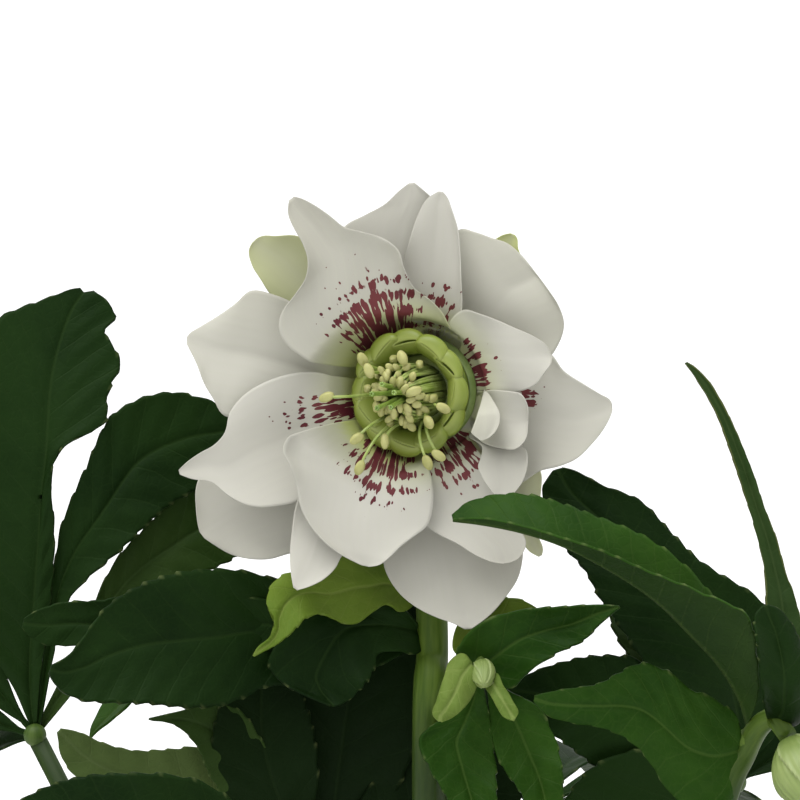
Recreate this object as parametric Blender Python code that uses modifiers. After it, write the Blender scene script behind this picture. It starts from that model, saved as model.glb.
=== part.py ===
"""A double white hellebore in a plain nursery pot.

Tables are in millimetres and the objects in metres, +Z up. The origin is the middle of the
pot's underside. The plant faces -Y. The open bloom and the leaves round it are laid out as they
look from the front. A place in that front view is given in one of two ways: in millimetres to
the right of its middle, above it, and toward the viewer from the bloom; or in units across and
down the view from its upper left corner, with the depth toward the viewer given apart.
"""

import math
import random

import bmesh
import bpy
from mathutils import Vector

MM = 0.001

# Pot
POT_HEIGHT = 130.0
POT_TOP_RADIUS = 85.0
POT_FOOT_RADIUS = 62.0
POT_WALL = 1.6
RIM_HEIGHT = 14.0
RIM_PROUD = 2.2
FOOT_HEIGHT = 3.0
FOOT_RING_WIDTH = 3.0
FOOT_SLOPE = 1.2
FLOOR_THICKNESS = 2.2
FLOOR_DISC_RADIUS = 29.5
DRAIN_HOLES = 8
DRAIN_HOLE_RADIUS = 5.0
DRAIN_RING_RADIUS = 45.0
POT_SEGMENTS = 40

# Soil
SOIL_TOP = 114.0
SOIL_CROWN_RISE = 4.0
SOIL_GAP = 0.3
SOIL_FACET_GAP = 0.3
SOIL_SEGMENTS = 32
STEM_HOLE_DEPTH = 14.0
STEM_HOLE_GAP = 0.5
HOLE_SIDES = 8

# The front view that the plant is laid out in
VIEW_ELEVATION = math.radians(8.0)
VIEW_DISTANCE = 600.0
VIEW_UNITS = 800
UNIT = 0.1728
BLOOM_CENTRE = Vector((-2.0, -30.0, 330.0))
ACROSS = Vector((1.0, 0.0, 0.0))
TOWARD = Vector((0.0, -math.cos(VIEW_ELEVATION), math.sin(VIEW_ELEVATION)))
UPWARD = Vector((0.0, math.sin(VIEW_ELEVATION), math.cos(VIEW_ELEVATION)))
VIEW_MIDDLE = BLOOM_CENTRE - ACROSS * 1.4 - UPWARD * 1.2

# Bloom, on its own leaning axis
BLOOM_LEAN_LEFT = math.radians(24.0)
BLOOM_LEAN_DOWN = math.radians(4.0)
BLOOM_AXIS = (
    ACROSS * -math.sin(BLOOM_LEAN_LEFT)
    + UPWARD * -math.sin(BLOOM_LEAN_DOWN)
    + TOWARD * math.cos(BLOOM_LEAN_LEFT)
).normalized()
BLOOM_RIGHT = (ACROSS - BLOOM_AXIS * ACROSS.dot(BLOOM_AXIS)).normalized()
BLOOM_UP = BLOOM_AXIS.cross(BLOOM_RIGHT)
HUB_RADIUS = 9.5
HUB_TAPER = 2.0
HUB_THICKNESS = 4.0
HUB_DEPTH = -7.0
TEPAL_THICKNESS = 0.8
TEPAL_COLUMNS = 4
TEPAL_ROWS = 7
TEPAL_ROOT_RADIUS = 7.5
TEPAL_ROOT_DEPTH = -9.0
TEPAL_ROOT_SPREAD = 0.4

# The room that the tepals leave for the cup of nectaries
CUP_FOOT_HEIGHT = -8.7
CUP_FOOT_RADIUS = 10.5
CUP_SLOPE = 3.5

# The rings that the nectaries and the stamens stand on, and the seat of the carpels
RING_GAP = 0.3
RING_THICKNESS = 1.0
RING_SEGMENTS = 16
NECTARY_COUNT = 12
NECTARY_RING = (6.5, 8.7)
NECTARY_FOOT_RADIUS = 7.6
NECTARY_HEIGHT = 7.0
NECTARY_LEAN = 1.3
NECTARY_FOOT = (0.9, 1.0)
NECTARY_MOUTH = (2.1, 3.1)
NECTARY_LIP_DROP = 1.6
STAMEN_RING = (2.9, 6.2)
STAMEN_FOOT_RADIUS = 4.6
FILAMENT_RADIUS = 0.42
ANTHER_RADII = (0.75, 0.75, 1.15)
STAMENS_SEEDED = 6
CARPEL_COUNT = 5
CARPEL_TURN = 0.4
CARPEL_SEAT_RADIUS = 2.3
CARPEL_KNOTS = [(1.0, -6.3), (1.15, -3.0), (1.3, 3.0), (1.6, 7.0), (2.2, 10.5)]
CARPEL_RADII = [0.9, 1.15, 0.8, 0.4, 0.5]

# Leaves and stems
LEAF_THICKNESS = 0.8
LEAF_ROWS = 7
MEASURED_ROWS = 8
TOOTH = 0.10
MEASURED_TOOTH = 0.04
TOOTH_AHEAD = 0.35
BLADE_FOOT = 0.55
BLADE_START = 1.6
BLADE_FOLD = 0.25
BLADE_WAVE = 0.6
FULL_WIDTH = 4.0
TIP_SHARE = 0.985
LINE_STEPS = 120
JUNCTION_RADIUS = 2.5
STEM_SIDES = 6
STEM_STEPS = 2
PETIOLE_RADII = (2.4, 1.7)

# Buds
BUD_TEPALS = 5
BUD_SEGMENTS = 15
BUD_RINGS = 8
BUD_SPIRAL = 0.8
BUD_EDGE = 0.14
BUD_BRACT_ROWS = 5

# Feet: where each petiole and flower stem stands in the soil, and its radius there
FEET = {
    "basal_leaf_left": (-17.0, 3.0, 2.4),
    "basal_leaf_back_right": (17.0, 9.0, 2.4),
    "basal_leaf_centre": (-6.0, 12.0, 2.4),
    "basal_leaf_front_left": (-15.0, -12.0, 2.4),
    "basal_leaf_front_right": (15.0, -15.0, 2.3),
    "basal_leaf_back": (5.0, 21.0, 2.3),
    "basal_leaf_back_left": (-17.0, 19.0, 2.3),
    "flower_stem_main": (3.0, -3.0, 3.2),
    "flower_stem_middle": (2.0, -20.0, 2.6),
    "flower_stem_right": (27.0, -15.0, 2.8),
    "flower_stem_back": (-27.0, 9.0, 2.4),
}

# Flower stems: the places that each passes in the front view above its foot
MAIN_STEM = [(5.0, -66.0, -12.0), (5.6, -42.0, -12.0), (5.0, -16.0, -15.0)]
MIDDLE_STEM = [(10.0, -74.0, -6.0), (10.5, -54.0, -8.5), (11.8, -46.5, -8.0), (13.8, -45.0, -4.5),
               (14.3, -45.4, -0.6)]
RIGHT_STEM = [(52.0, -84.0, 10.0), (60.0, -60.0, 16.0), (64.5, -54.5, 19.0), (67.0, -58.0, 23.0)]
STEM_RADII = {"main": (3.2, 2.4), "middle": (2.6, 1.2), "right": (2.8, 1.6), "back": (2.4, 1.5)}

# The back stem, in the pot's frame, and its bracts: which way each points, its length and how
# far its tip drops
BACK_STEM_KNOTS = [(-27.0, 24.0, 200.0), (-34.0, 38.0, 262.0), (-36.0, 50.0, 280.0),
                   (-36.0, 58.0, 276.0)]
BACK_BRACTS_AT = Vector((-34.0, 39.0, 262.0))
BACK_BRACTS = [(150.0, 40.0, 2.0), (208.0, 36.0, 6.0), (10.0, 32.0, 0.0)]

# Buds: where the stalk ends, which way the bud hangs, its length and its radius
BUDS = {
    "bud_right": dict(at=(67.6, -59.0, 24.2), hang=(0.3, -0.75, 0.6), length=15.0, radius=5.6),
    "bud_middle": dict(at=(14.3, -45.6, 0.3), hang=(0.0, -0.45, 0.9), length=7.0, radius=2.3),
}
BACK_BUD = dict(at=(-35.6, 59.4, 274.8), hang=(0.15, 0.8, -0.6), length=15.0, radius=6.0)

# Pale bracts that wrap the middle bud
BUD_BRACTS = [
    dict(at=(481, 664), tip=(440, 722), depth=[(0, 3), (0.3, 5), (0.7, 8), (1, 7)],
         lift=(-1.5, -2.0),
         a=[(478, 678), (474, 692), (466, 705), (454, 716)],
         b=[(463, 654), (450, 662), (443, 681), (437, 701), (433, 714)]),
    dict(at=(486, 668), tip=(514, 721), depth=[(0, 3), (0.4, 6), (1, 9)], lift=(-1.2, -1.2),
         a=[(496, 674), (504, 687), (512, 700), (518, 713)],
         b=[(485, 682), (491, 696), (498, 708), (505, 718)]),
]

# Leaves and bracts. A measured leaflet has its base, its tip and its two margins in the front
# view, b on the right hand of the way from base to tip; depth is toward the viewer along it, and
# lift raises its two margins. A plain leaflet runs from base to tip, bent toward a middle place.

LEFT_BASE = (35, 735)
LEFT_JUNCTION = (-63.0, -58.0, -30.0)
LEFT_LEAF = [
    dict(at=LEFT_BASE, tip=(88, 287), depth=[(0, -30), (0.5, -24), (1, -30)], lift=(0.5, 0.5),
         a=[(15, 690), (-15, 640), (-38, 560), (-45, 480), (-38, 400), (-20, 345), (0, 317),
            (25, 306), (50, 297), (72, 289)],
         b=[(40, 680), (48, 620), (54, 560), (54, 522), (51, 490), (54, 462), (68, 442),
            (88, 434), (108, 418), (107, 402), (113, 382), (121, 365), (115, 348), (105, 331),
            (116, 316), (106, 300)], mid=[(30, 690), (34, 601), (45, 470), (57, 353), (75, 305)]),
    dict(at=LEFT_BASE, tip=(262, 425), depth=[(0, -30), (0.5, -26), (1, -34)], lift=(0.5, 0.5),
         a=[(45, 640), (55, 560), (62, 522), (74, 493), (88, 462), (97, 440), (112, 415),
            (130, 403), (150, 395), (175, 392), (200, 397), (228, 408)],
         b=[(52, 665), (70, 598), (95, 572), (118, 553), (142, 530), (170, 505), (205, 485),
            (238, 462)]),
    dict(at=LEFT_BASE, tip=(290, 500), depth=[(0, -31), (0.5, -30), (1, -36)], lift=(1.5, 0.5),
         a=[(80, 640), (118, 557), (150, 522), (176, 497), (205, 478), (245, 470)],
         b=[(95, 665), (125, 615), (160, 590), (195, 576), (228, 562), (262, 540)]),
    dict(base=LEFT_JUNCTION, bend=(-84.0, -34.0, -34.0), tip=(-92.0, 0.0, -44.0),
         width=10.0, widest=0.6, face=(-0.3, 0.1, 1.0), fold=0.15),
    dict(base=LEFT_JUNCTION, bend=(-86.0, -50.0, -34.0), tip=(-108.0, -40.0, -36.0),
         width=9.0, widest=0.6, face=(-0.2, 0.7, 0.7), fold=0.2),
    dict(base=LEFT_JUNCTION, bend=(-76.0, -60.0, -40.0), tip=(-94.0, -78.0, -46.0),
         width=8.0, widest=0.6, face=(-0.5, 0.6, 0.5), fold=0.2),
]

WHORL_BASE = (431, 637)
MAIN_BRACTS = [
    dict(at=WHORL_BASE, tip=(46, 668), depth=[(0, -12), (0.35, -8), (0.6, 0), (1, 8)],
         lift=(1.5, 0.5),
         a=[(400, 655), (340, 680), (300, 690), (270, 686), (250, 695), (225, 705), (190, 708),
            (150, 704), (110, 703), (80, 700), (58, 688)],
         b=[(400, 612), (340, 592), (300, 584), (270, 577), (240, 570), (210, 569), (180, 572),
            (130, 590), (105, 608), (85, 635), (68, 656)]),
    dict(at=WHORL_BASE, tip=(334, 707), depth=[(0, -12), (0.3, -8), (0.6, -4.5), (1, -2)],
         lift=(0.5, 1.0),
         a=[(420, 652), (398, 652), (378, 655), (373, 672), (360, 690), (346, 702)],
         b=[(400, 606), (350, 598), (302, 610), (276, 640), (269, 668), (286, 685), (310, 697)]),
    dict(at=WHORL_BASE, tip=(19, 622), depth=[(0, -12), (0.4, -6), (1, -2)], lift=(0.5, 0.5),
         a=[(400, 648), (300, 648), (200, 652), (120, 650), (72, 646), (43, 644), (26, 633)],
         b=[(400, 625), (300, 604), (200, 594), (130, 594), (103, 600), (60, 603), (34, 612)]),
    dict(at=(429, 600), tip=(251, 657), depth=[(0, -13), (0.3, -6), (0.5, -1), (0.8, 4), (1, 8)],
         lift=(1.5, -0.5),
         a=[(402, 612), (385, 604), (371, 614), (358, 623), (340, 622), (322, 614), (306, 618),
            (292, 632), (276, 645), (263, 652)],
         b=[(400, 566), (370, 562), (341, 555), (320, 566), (298, 571), (280, 577), (269, 590),
            (267, 605), (274, 622), (270, 636), (258, 648)]),
]

MIDDLE_BASE = (480, 660)
MIDDLE_BRACTS = [
    dict(at=MIDDLE_BASE, tip=(622, 606), depth=[(0, -4), (0.4, 1), (1, 5)], lift=(1.5, 1.5),
         a=[(456, 654), (464, 638), (480, 625), (502, 614), (530, 609), (562, 607), (595, 605)],
         b=[(496, 686), (510, 688), (524, 678), (538, 665), (560, 652), (583, 641), (602, 622)]),
    dict(at=MIDDLE_BASE, tip=(546, 614), depth=[(0, -5), (0.5, -8), (1, -9)], lift=(0.5, 0.5),
         a=[(454, 652), (456, 630), (472, 609), (494, 599), (522, 600)],
         b=[(488, 652), (508, 645), (532, 632)]),
    dict(at=MIDDLE_BASE, tip=(482, 862), depth=[(0, -5), (0.3, -2), (1, 4)], lift=(1.0, 1.0),
         a=[(486, 700), (492, 730), (496, 765), (496, 805), (491, 838)],
         b=[(462, 700), (440, 720), (419, 738), (428, 765), (448, 800), (466, 836)]),
    dict(at=MIDDLE_BASE, tip=(556, 856), depth=[(0, -5), (0.3, -1), (1, 5)], lift=(1.0, 1.0),
         a=[(508, 690), (534, 704), (552, 730), (561, 760), (563, 795), (561, 830)],
         b=[(488, 696), (490, 730), (500, 762), (520, 792), (540, 830)]),
]

RIGHT_BASE = (747, 741)
RIGHT_JUNCTION = (60.0, -59.0, 16.0)
RIGHT_BRACTS = [
    dict(at=RIGHT_BASE, tip=(447, 520), depth=[(0, 16), (0.3, 26), (0.7, 31), (1, 27)],
         lift=(5.0, -4.0),
         a=[(757, 700), (757, 655), (750, 620), (700, 592), (650, 572), (600, 550), (560, 537),
            (520, 525), (480, 518)],
         b=[(748, 690), (735, 640), (715, 600), (690, 570), (640, 534), (600, 518), (560, 503),
            (530, 495), (490, 496), (466, 504)],
         mid=[(741, 705), (718, 665), (690, 635), (660, 605), (600, 565), (560, 545), (520, 532),
              (480, 524)]),
    dict(at=RIGHT_BASE, tip=(531, 697), depth=[(0, 16), (0.4, 20), (1, 22)], lift=(-1.0, 0.5),
         a=[(738, 790), (715, 815), (690, 810), (668, 790), (652, 766), (638, 748), (618, 734),
            (598, 727), (570, 722), (545, 713)],
         b=[(737, 717), (716, 700), (690, 688), (662, 668), (640, 663), (618, 673), (600, 683),
            (575, 688), (550, 692)]),
    dict(at=(771, 716), tip=(682, 359), depth=[(0, 19), (0.15, 15), (0.5, 8), (1, 0)], lift=(0.3, 0.3),
         a=[(776, 680), (770, 640), (766, 600), (765, 575), (755, 530), (743, 490), (730, 450),
            (715, 411), (700, 385), (690, 370)],
         b=[(803, 680), (803, 640), (796, 600), (785, 570), (777, 540), (765, 508), (753, 472),
            (740, 440), (722, 403), (706, 378), (693, 366)]),
    dict(at=(764, 731), tip=(764, 605), depth=[(0, 18), (0.4, 30), (1, 31)], lift=(2.0, -2.0),
         a=[(767, 716), (762, 690), (759, 660), (756, 635), (755, 616)],
         b=[(800, 722), (808, 690), (802, 650), (790, 622), (776, 608)]),
    dict(base=RIGHT_JUNCTION, bend=(80.0, -44.0, 12.0), tip=(98.0, -60.0, 6.0),
         width=9.0, widest=0.5, face=(0.2, 0.9, 0.3), fold=0.2),
]

BACK_RIGHT_BASE = (735, 782)
BACK_RIGHT_JUNCTION = (58.0, -66.0, -24.0)
BACK_RIGHT_LEAF = [
    dict(at=BACK_RIGHT_BASE, tip=(556, 466), depth=[(0, -24), (0.5, -14), (1, -20)],
         lift=(0.5, 0.5),
         a=[(700, 740), (668, 700), (645, 665), (618, 625), (600, 600), (583, 568), (562, 545),
            (545, 512), (543, 486)],
         b=[(785, 720), (795, 660), (772, 612), (748, 590), (733, 581), (700, 560), (670, 530),
            (640, 500), (600, 484), (576, 471)]),
    dict(at=BACK_RIGHT_BASE, tip=(642, 590), depth=[(0, -25), (0.5, -22), (1, -28)],
         lift=(0.5, 0.5),
         a=[(690, 752), (655, 722), (640, 692), (634, 664), (618, 640), (610, 612), (622, 594)],
         b=[(725, 730), (712, 690), (690, 652), (668, 622), (655, 602)]),
    dict(at=BACK_RIGHT_BASE, tip=(505, 690), depth=[(0, -24), (0.5, -18), (1, -22)],
         lift=(0.5, 0.5),
         a=[(700, 800), (650, 800), (600, 770), (560, 740), (525, 712)],
         b=[(705, 740), (665, 690), (640, 660), (600, 655), (555, 664), (525, 676)]),
    dict(base=BACK_RIGHT_JUNCTION, bend=(84.0, -48.0, -30.0), tip=(98.0, -44.0, -40.0),
         width=9.5, widest=0.5, face=(0.3, 0.7, 0.6), fold=0.2),
    dict(at=BACK_RIGHT_BASE, tip=(566, 860), depth=[(0, -24), (0.5, -16), (1, -12)],
         lift=(0.5, 0.5),
         a=[(715, 830), (680, 880), (640, 890), (600, 880)],
         b=[(690, 770), (640, 750), (595, 765), (565, 800), (556, 835)]),
]

CENTRE_BASE = (319, 874)
CENTRE_JUNCTION = (-14.0, -82.0, -26.0)
CENTRE_LEAF = [
    dict(at=CENTRE_BASE, tip=(385, 570), depth=[(0, -26), (0.5, -19), (1, -24)], lift=(0.5, 0.5),
         a=[(300, 820), (278, 760), (272, 700), (290, 640), (335, 595)],
         b=[(368, 830), (405, 775), (424, 710), (424, 640), (410, 592)]),
    dict(at=CENTRE_BASE, tip=(262, 645), depth=[(0, -26), (0.5, -14), (1, -16)], lift=(0.5, 0.5),
         a=[(275, 840), (225, 790), (212, 745), (222, 700), (240, 665)],
         b=[(315, 825), (318, 765), (305, 700), (285, 662)]),
    dict(at=CENTRE_BASE, tip=(145, 719), depth=[(0, -26), (0.5, -15), (1, -13)], lift=(0.5, 0.5),
         a=[(275, 862), (236, 815), (208, 772), (198, 748), (176, 726)],
         b=[(300, 812), (265, 745), (236, 708), (205, 705), (174, 713)]),
    dict(at=CENTRE_BASE, tip=(56, 728), depth=[(0, -26), (0.5, -20), (1, -18)], lift=(0.5, 0.5),
         a=[(260, 872), (200, 840), (140, 815), (90, 790), (62, 758)],
         b=[(285, 812), (240, 764), (206, 747), (170, 749), (130, 750), (100, 742), (78, 732)]),
    dict(at=CENTRE_BASE, tip=(505, 676), depth=[(0, -26), (0.5, -20), (1, -30)], lift=(0.5, 0.5),
         a=[(350, 815), (398, 750), (430, 705), (465, 680)],
         b=[(400, 875), (480, 835), (535, 780), (550, 730), (535, 695)]),
]

FRONT_LEFT_BASE = (273, 886)
FRONT_LEFT_JUNCTION = (-22.0, -84.0, 16.0)
FRONT_LEFT_LEAF = [
    dict(at=FRONT_LEFT_BASE, tip=(-26, 836), depth=[(0, 16), (0.5, 24), (1, 22)],
         lift=(0.5, 0.0),
         a=[(230, 900), (150, 896), (80, 882), (20, 862)],
         b=[(250, 835), (225, 795), (200, 781), (165, 774), (130, 773), (90, 775), (50, 785),
            (20, 800), (-6, 818)]),
    dict(base=FRONT_LEFT_JUNCTION, bend=(-40.0, -82.0, 38.0), tip=(-62.0, -104.0, 42.0),
         width=10.0, widest=0.5, face=(-0.2, 0.8, 0.6), fold=0.15),
    dict(base=FRONT_LEFT_JUNCTION, bend=(-26.0, -82.0, 44.0), tip=(-36.0, -112.0, 60.0),
         width=10.5, widest=0.5, face=(-0.1, 0.7, 0.7), fold=0.15),
    dict(base=FRONT_LEFT_JUNCTION, bend=(-10.0, -84.0, 36.0), tip=(-6.0, -116.0, 50.0),
         width=9.0, widest=0.5, face=(0.1, 0.7, 0.7), fold=0.15),
    dict(base=FRONT_LEFT_JUNCTION, bend=(-50.0, -76.0, 8.0), tip=(-80.0, -94.0, 4.0),
         width=7.0, widest=0.5, face=(-0.3, 0.9, 0.2), fold=0.15),
]

# Leaves that the front view doesn't reach: the place of the junction in the pot's frame, the
# way the leaf leans, and how far its leaflets run and droop.
OTHER_LEAVES = [
    dict(name="basal_leaf_front_right", junction=(42.0, -54.0, 204.0), lean=-42.0,
         length=64.0, spread=98.0, droop=0.75),
    dict(name="basal_leaf_back", junction=(24.0, 62.0, 232.0), lean=70.0,
         length=70.0, spread=100.0, droop=0.6),
    dict(name="basal_leaf_back_left", junction=(-56.0, 48.0, 204.0), lean=144.0,
         length=66.0, spread=92.0, droop=0.75),
]
OTHER_LEAFLETS = 5

# Tepals in the front view: the angle of each one's root on the hub, its tip, its
# counter-clockwise margin a and its clockwise margin b in units across and down the view, its
# depth along it and how far its two margins rise toward the viewer.

TEPALS = {
    "outer_top": dict(root=95, tip=(412, 181), depth=[(0.3, -4), (0.6, -2), (1, -1)],
        lift=(0.5, 0.5),
        a=[(352, 320), (340, 280), (335, 250), (344, 227), (365, 215), (385, 204), (400, 190)],
        b=[(445, 320), (458, 280), (456, 240), (442, 212), (431, 197), (422, 189)]),
    "outer_upper_left": dict(root=140, tip=(254, 240), depth=[(0.3, -7), (0.6, -5.5), (1, -4)],
        lift=(0.5, 0.5),
        a=[(325, 335), (292, 312), (270, 294), (261, 280), (252, 265), (249, 250)],
        b=[(355, 305), (330, 265), (312, 244), (297, 236), (275, 236), (262, 236)]),
    "outer_left": dict(root=172, tip=(185, 340), depth=[(0.3, -5), (0.6, -3), (1, -2)],
        lift=(1.0, 0.5),
        a=[(345, 418), (290, 424), (245, 420), (222, 414), (214, 400), (205, 385), (196, 362),
           (190, 350)],
        b=[(345, 345), (305, 310), (275, 295), (250, 291), (235, 304), (215, 318), (200, 327),
           (189, 334)]),
    "outer_lower_left": dict(root=-143, tip=(201, 536), depth=[(0.3, -7), (0.6, -5.5), (1, -4)],
        lift=(0.5, 0.5),
        a=[(372, 495), (345, 535), (312, 550), (288, 554), (270, 559), (250, 559), (230, 554),
           (213, 544)],
        b=[(335, 425), (275, 442), (225, 456), (203, 470), (196, 488), (196, 508), (198, 525)]),
    "outer_bottom": dict(root=-78, tip=(468, 631), depth=[(0.3, -6), (0.6, -3), (1, -1)],
        lift=(1.0, 0.8),
        a=[(470, 470), (505, 498), (522, 530), (523, 555), (518, 578), (505, 598), (490, 615),
           (477, 625)],
        b=[(400, 480), (388, 525), (383, 552), (384, 566), (391, 582), (401, 595), (416, 607),
           (436, 617), (455, 624)]),
    "outer_lower_right": dict(root=-45, tip=(541, 558), depth=[(0.3, -6), (0.6, -5), (1, -5)],
        lift=(0.5, 0.5),
        a=[(478, 430), (518, 458), (540, 470), (541, 492), (537, 515), (538, 535), (543, 550)],
        b=[(455, 455), (478, 495), (502, 525), (518, 536), (530, 552)]),
    "outer_right": dict(root=-3, tip=(613, 407), depth=[(0.3, -4), (0.6, -1.5), (1, 0)],
        lift=(0.5, 1.0),
        a=[(475, 365), (510, 345), (538, 346), (552, 355), (563, 370), (582, 383), (600, 394),
           (610, 400)],
        b=[(470, 430), (498, 468), (518, 483), (540, 471), (560, 466), (576, 459), (591, 445),
           (605, 427), (611, 415)]),
    "outer_upper_right": dict(root=50, tip=(538, 276), depth=[(0.3, -3.5), (0.6, -1), (1, 0)],
        lift=(0.5, 0.5),
        a=[(430, 330), (442, 280), (450, 245), (460, 229), (475, 232), (492, 238), (507, 243),
           (520, 254)],
        b=[(478, 352), (515, 366), (545, 362), (557, 347), (564, 322), (558, 305), (549, 291)]),
    "outer_green_edge": dict(root=57, tip=(513, 233), depth=[(0.3, -6), (0.6, -4.5), (1, -3.5)],
        lift=(0.5, 0.8),
        a=[(440, 315), (470, 262), (494, 240), (503, 235)],
        b=[(490, 335), (520, 305), (529, 282), (525, 264), (518, 248), (517, 238)]),
    "inner_upper_left": dict(root=118, tip=(290, 196), depth=[(0.25, -1), (0.55, 2.5), (1, 4)],
        lift=(1.5, 2.0),
        a=[(350, 372), (325, 369), (304, 358), (288, 346), (279, 330), (281, 314), (294, 296),
           (306, 277), (308, 262), (302, 242), (295, 230), (288, 212)],
        b=[(452, 345), (450, 330), (443, 314), (430, 300), (414, 288), (404, 268), (398, 250),
           (384, 239), (362, 232), (344, 227), (330, 216), (314, 205), (300, 198)]),
    "inner_top": dict(root=72, tip=(441, 190), depth=[(0.3, -2), (0.6, -0.5), (1, 1.5)],
        lift=(-0.5, 3.0),
        a=[(412, 320), (402, 290), (404, 262), (410, 238), (418, 215), (428, 198)],
        b=[(458, 335), (462, 305), (461, 280), (460, 252), (458, 230), (452, 210), (447, 197)]),
    "inner_right": dict(root=30, tip=(552, 356), depth=[(0.3, 0), (0.6, 3), (1, 5)],
        lift=(1.0, 1.0),
        a=[(446, 335), (452, 318), (463, 310), (480, 314), (497, 320), (515, 328), (533, 336),
           (546, 345)],
        b=[(470, 388), (486, 393), (505, 394), (522, 391), (536, 384), (545, 372), (551, 363)]),
    "inner_funnel": dict(root=-8, tip=(528, 421), depth=[(0.3, -1), (0.6, 2.5), (1, 4)],
        lift=(2.0, 2.5),
        a=[(470, 392), (490, 390), (508, 391), (521, 394), (527, 404)],
        b=[(468, 425), (482, 442), (500, 448), (515, 449), (525, 440)]),
    "inner_flap": dict(root=-14, tip=(481, 441), depth=[(0.3, 1.5), (0.6, 6.5), (1, 7)],
        lift=(-1.5, 0.5),
        a=[(470, 391), (484, 390), (494, 402), (500, 415), (497, 429), (490, 437)],
        b=[(465, 396), (465, 408), (467, 420), (471, 432)]),
    "inner_small_lobe": dict(root=-38, tip=(498, 499), depth=[(0.3, -1), (0.6, 3), (1, 4.5)],
        lift=(1.0, 1.5),
        a=[(485, 425), (512, 438), (526, 450), (527, 468), (520, 486), (510, 496)],
        b=[(470, 438), (482, 447), (481, 457), (478, 466), (482, 477), (489, 488)]),
    "inner_lower_right": dict(root=-60, tip=(506, 564), depth=[(0.3, 0), (0.6, 1.5), (1, 2)],
        lift=(0.5, 0.8),
        a=[(465, 430), (492, 470), (508, 500), (516, 522), (526, 545), (519, 558)],
        b=[(425, 455), (416, 485), (416, 508), (425, 525), (438, 534), (456, 543), (477, 556),
           (492, 562)]),
    "inner_bottom": dict(root=-112, tip=(366, 567), depth=[(0.25, 0), (0.55, 4), (1, 4.5)],
        lift=(1.0, 2.5),
        a=[(424, 450), (432, 480), (433, 505), (427, 526), (413, 537), (400, 547), (391, 556),
           (379, 565)],
        b=[(362, 438), (335, 426), (305, 429), (287, 439), (283, 450), (290, 465), (296, 484),
           (301, 508), (316, 533), (340, 554), (353, 561)]),
    "inner_pointed": dict(root=-127, tip=(294, 591), depth=[(0.3, -1.5), (0.6, 2.5), (1, 6)],
        lift=(0.5, 0.5),
        a=[(385, 490), (375, 530), (355, 550), (342, 556), (336, 567), (324, 579), (308, 587)],
        b=[(340, 445), (310, 475), (296, 505), (292, 530), (290, 552), (291, 574)]),
    "inner_left": dict(root=192, tip=(176, 473), depth=[(0.3, -2.5), (0.6, 0), (1, 1)],
        lift=(1.2, 0.8),
        a=[(350, 432), (322, 470), (298, 501), (275, 506), (258, 507), (244, 504), (229, 496),
           (211, 482), (192, 479)],
        b=[(350, 380), (312, 372), (270, 380), (245, 394), (230, 412), (224, 434), (214, 445),
           (200, 453), (186, 463)]),
}

# Anthers that stand out, in the front view from the bloom's middle
LONG_STAMENS = [
    (-14.0, -0.7, 4.5), (-8.8, -7.8, 4.5), (-4.0, -8.3, 5.0), (-8.3, -12.8, 5.0),
    (3.5, -5.0, 7.0), (3.3, -11.9, 6.0), (5.2, -10.7, 5.5), (-7.8, 5.7, 5.0),
    (-1.0, 6.0, 5.5), (-6.7, 3.8, 6.0), (1.0, 0.3, 8.0), (6.0, -2.6, 6.0),
]


# Places and curves


def seen(place):
    """A point of the front view as a place in the pot's frame."""
    right, up, toward = place
    nearer = 1.0 - toward / VIEW_DISTANCE
    return VIEW_MIDDLE + (ACROSS * right + UPWARD * up) * nearer + TOWARD * toward


def seen_direction(direction):
    right, up, toward = direction
    return (ACROSS * right + UPWARD * up + TOWARD * toward).normalized()


def view_point(u, v, depth):
    """A place by its units across and down the front view, and its depth toward the viewer."""
    return seen(((u - VIEW_UNITS / 2) * UNIT, (VIEW_UNITS / 2 - v) * UNIT, depth))


def view_of(point):
    """The units across and down the front view of a place, and its depth."""
    off = point - VIEW_MIDDLE
    toward = off.dot(TOWARD)
    nearer = (1.0 - toward / VIEW_DISTANCE) * UNIT
    across = VIEW_UNITS / 2 + off.dot(ACROSS) / nearer
    down = VIEW_UNITS / 2 - off.dot(UPWARD) / nearer
    return Vector((across, down)), toward


def bloom_point(x, y, height):
    """A place on the bloom's own axis: right, up and out along the axis from its middle."""
    return BLOOM_CENTRE + BLOOM_RIGHT * x + BLOOM_UP * y + BLOOM_AXIS * height


def bloom_ring_point(radius, turn, height):
    return bloom_point(radius * math.cos(turn), radius * math.sin(turn), height)


def front_point(x, y, depth):
    """A place in the front view, from the bloom's middle."""
    return BLOOM_CENTRE + ACROSS * x + UPWARD * y + TOWARD * depth


def bezier(points, t):
    """A point on the quadratic curve from the first point to the last, bent to the middle one."""
    start, bend, end = points
    return start * (1 - t) ** 2 + bend * (2 * t * (1 - t)) + end * t**2


def bezier_direction(points, t):
    start, bend, end = points
    return ((bend - start) * (1 - t) + (end - bend) * t).normalized()


def hermite(start, leaving, end, arriving, u):
    """Between two values with the slopes there, at u from 0 to 1."""
    return (
        start * (2 * u**3 - 3 * u**2 + 1)
        + leaving * (u**3 - 2 * u**2 + u)
        + end * (3 * u**2 - 2 * u**3)
        + arriving * (u**3 - u**2)
    )


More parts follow.
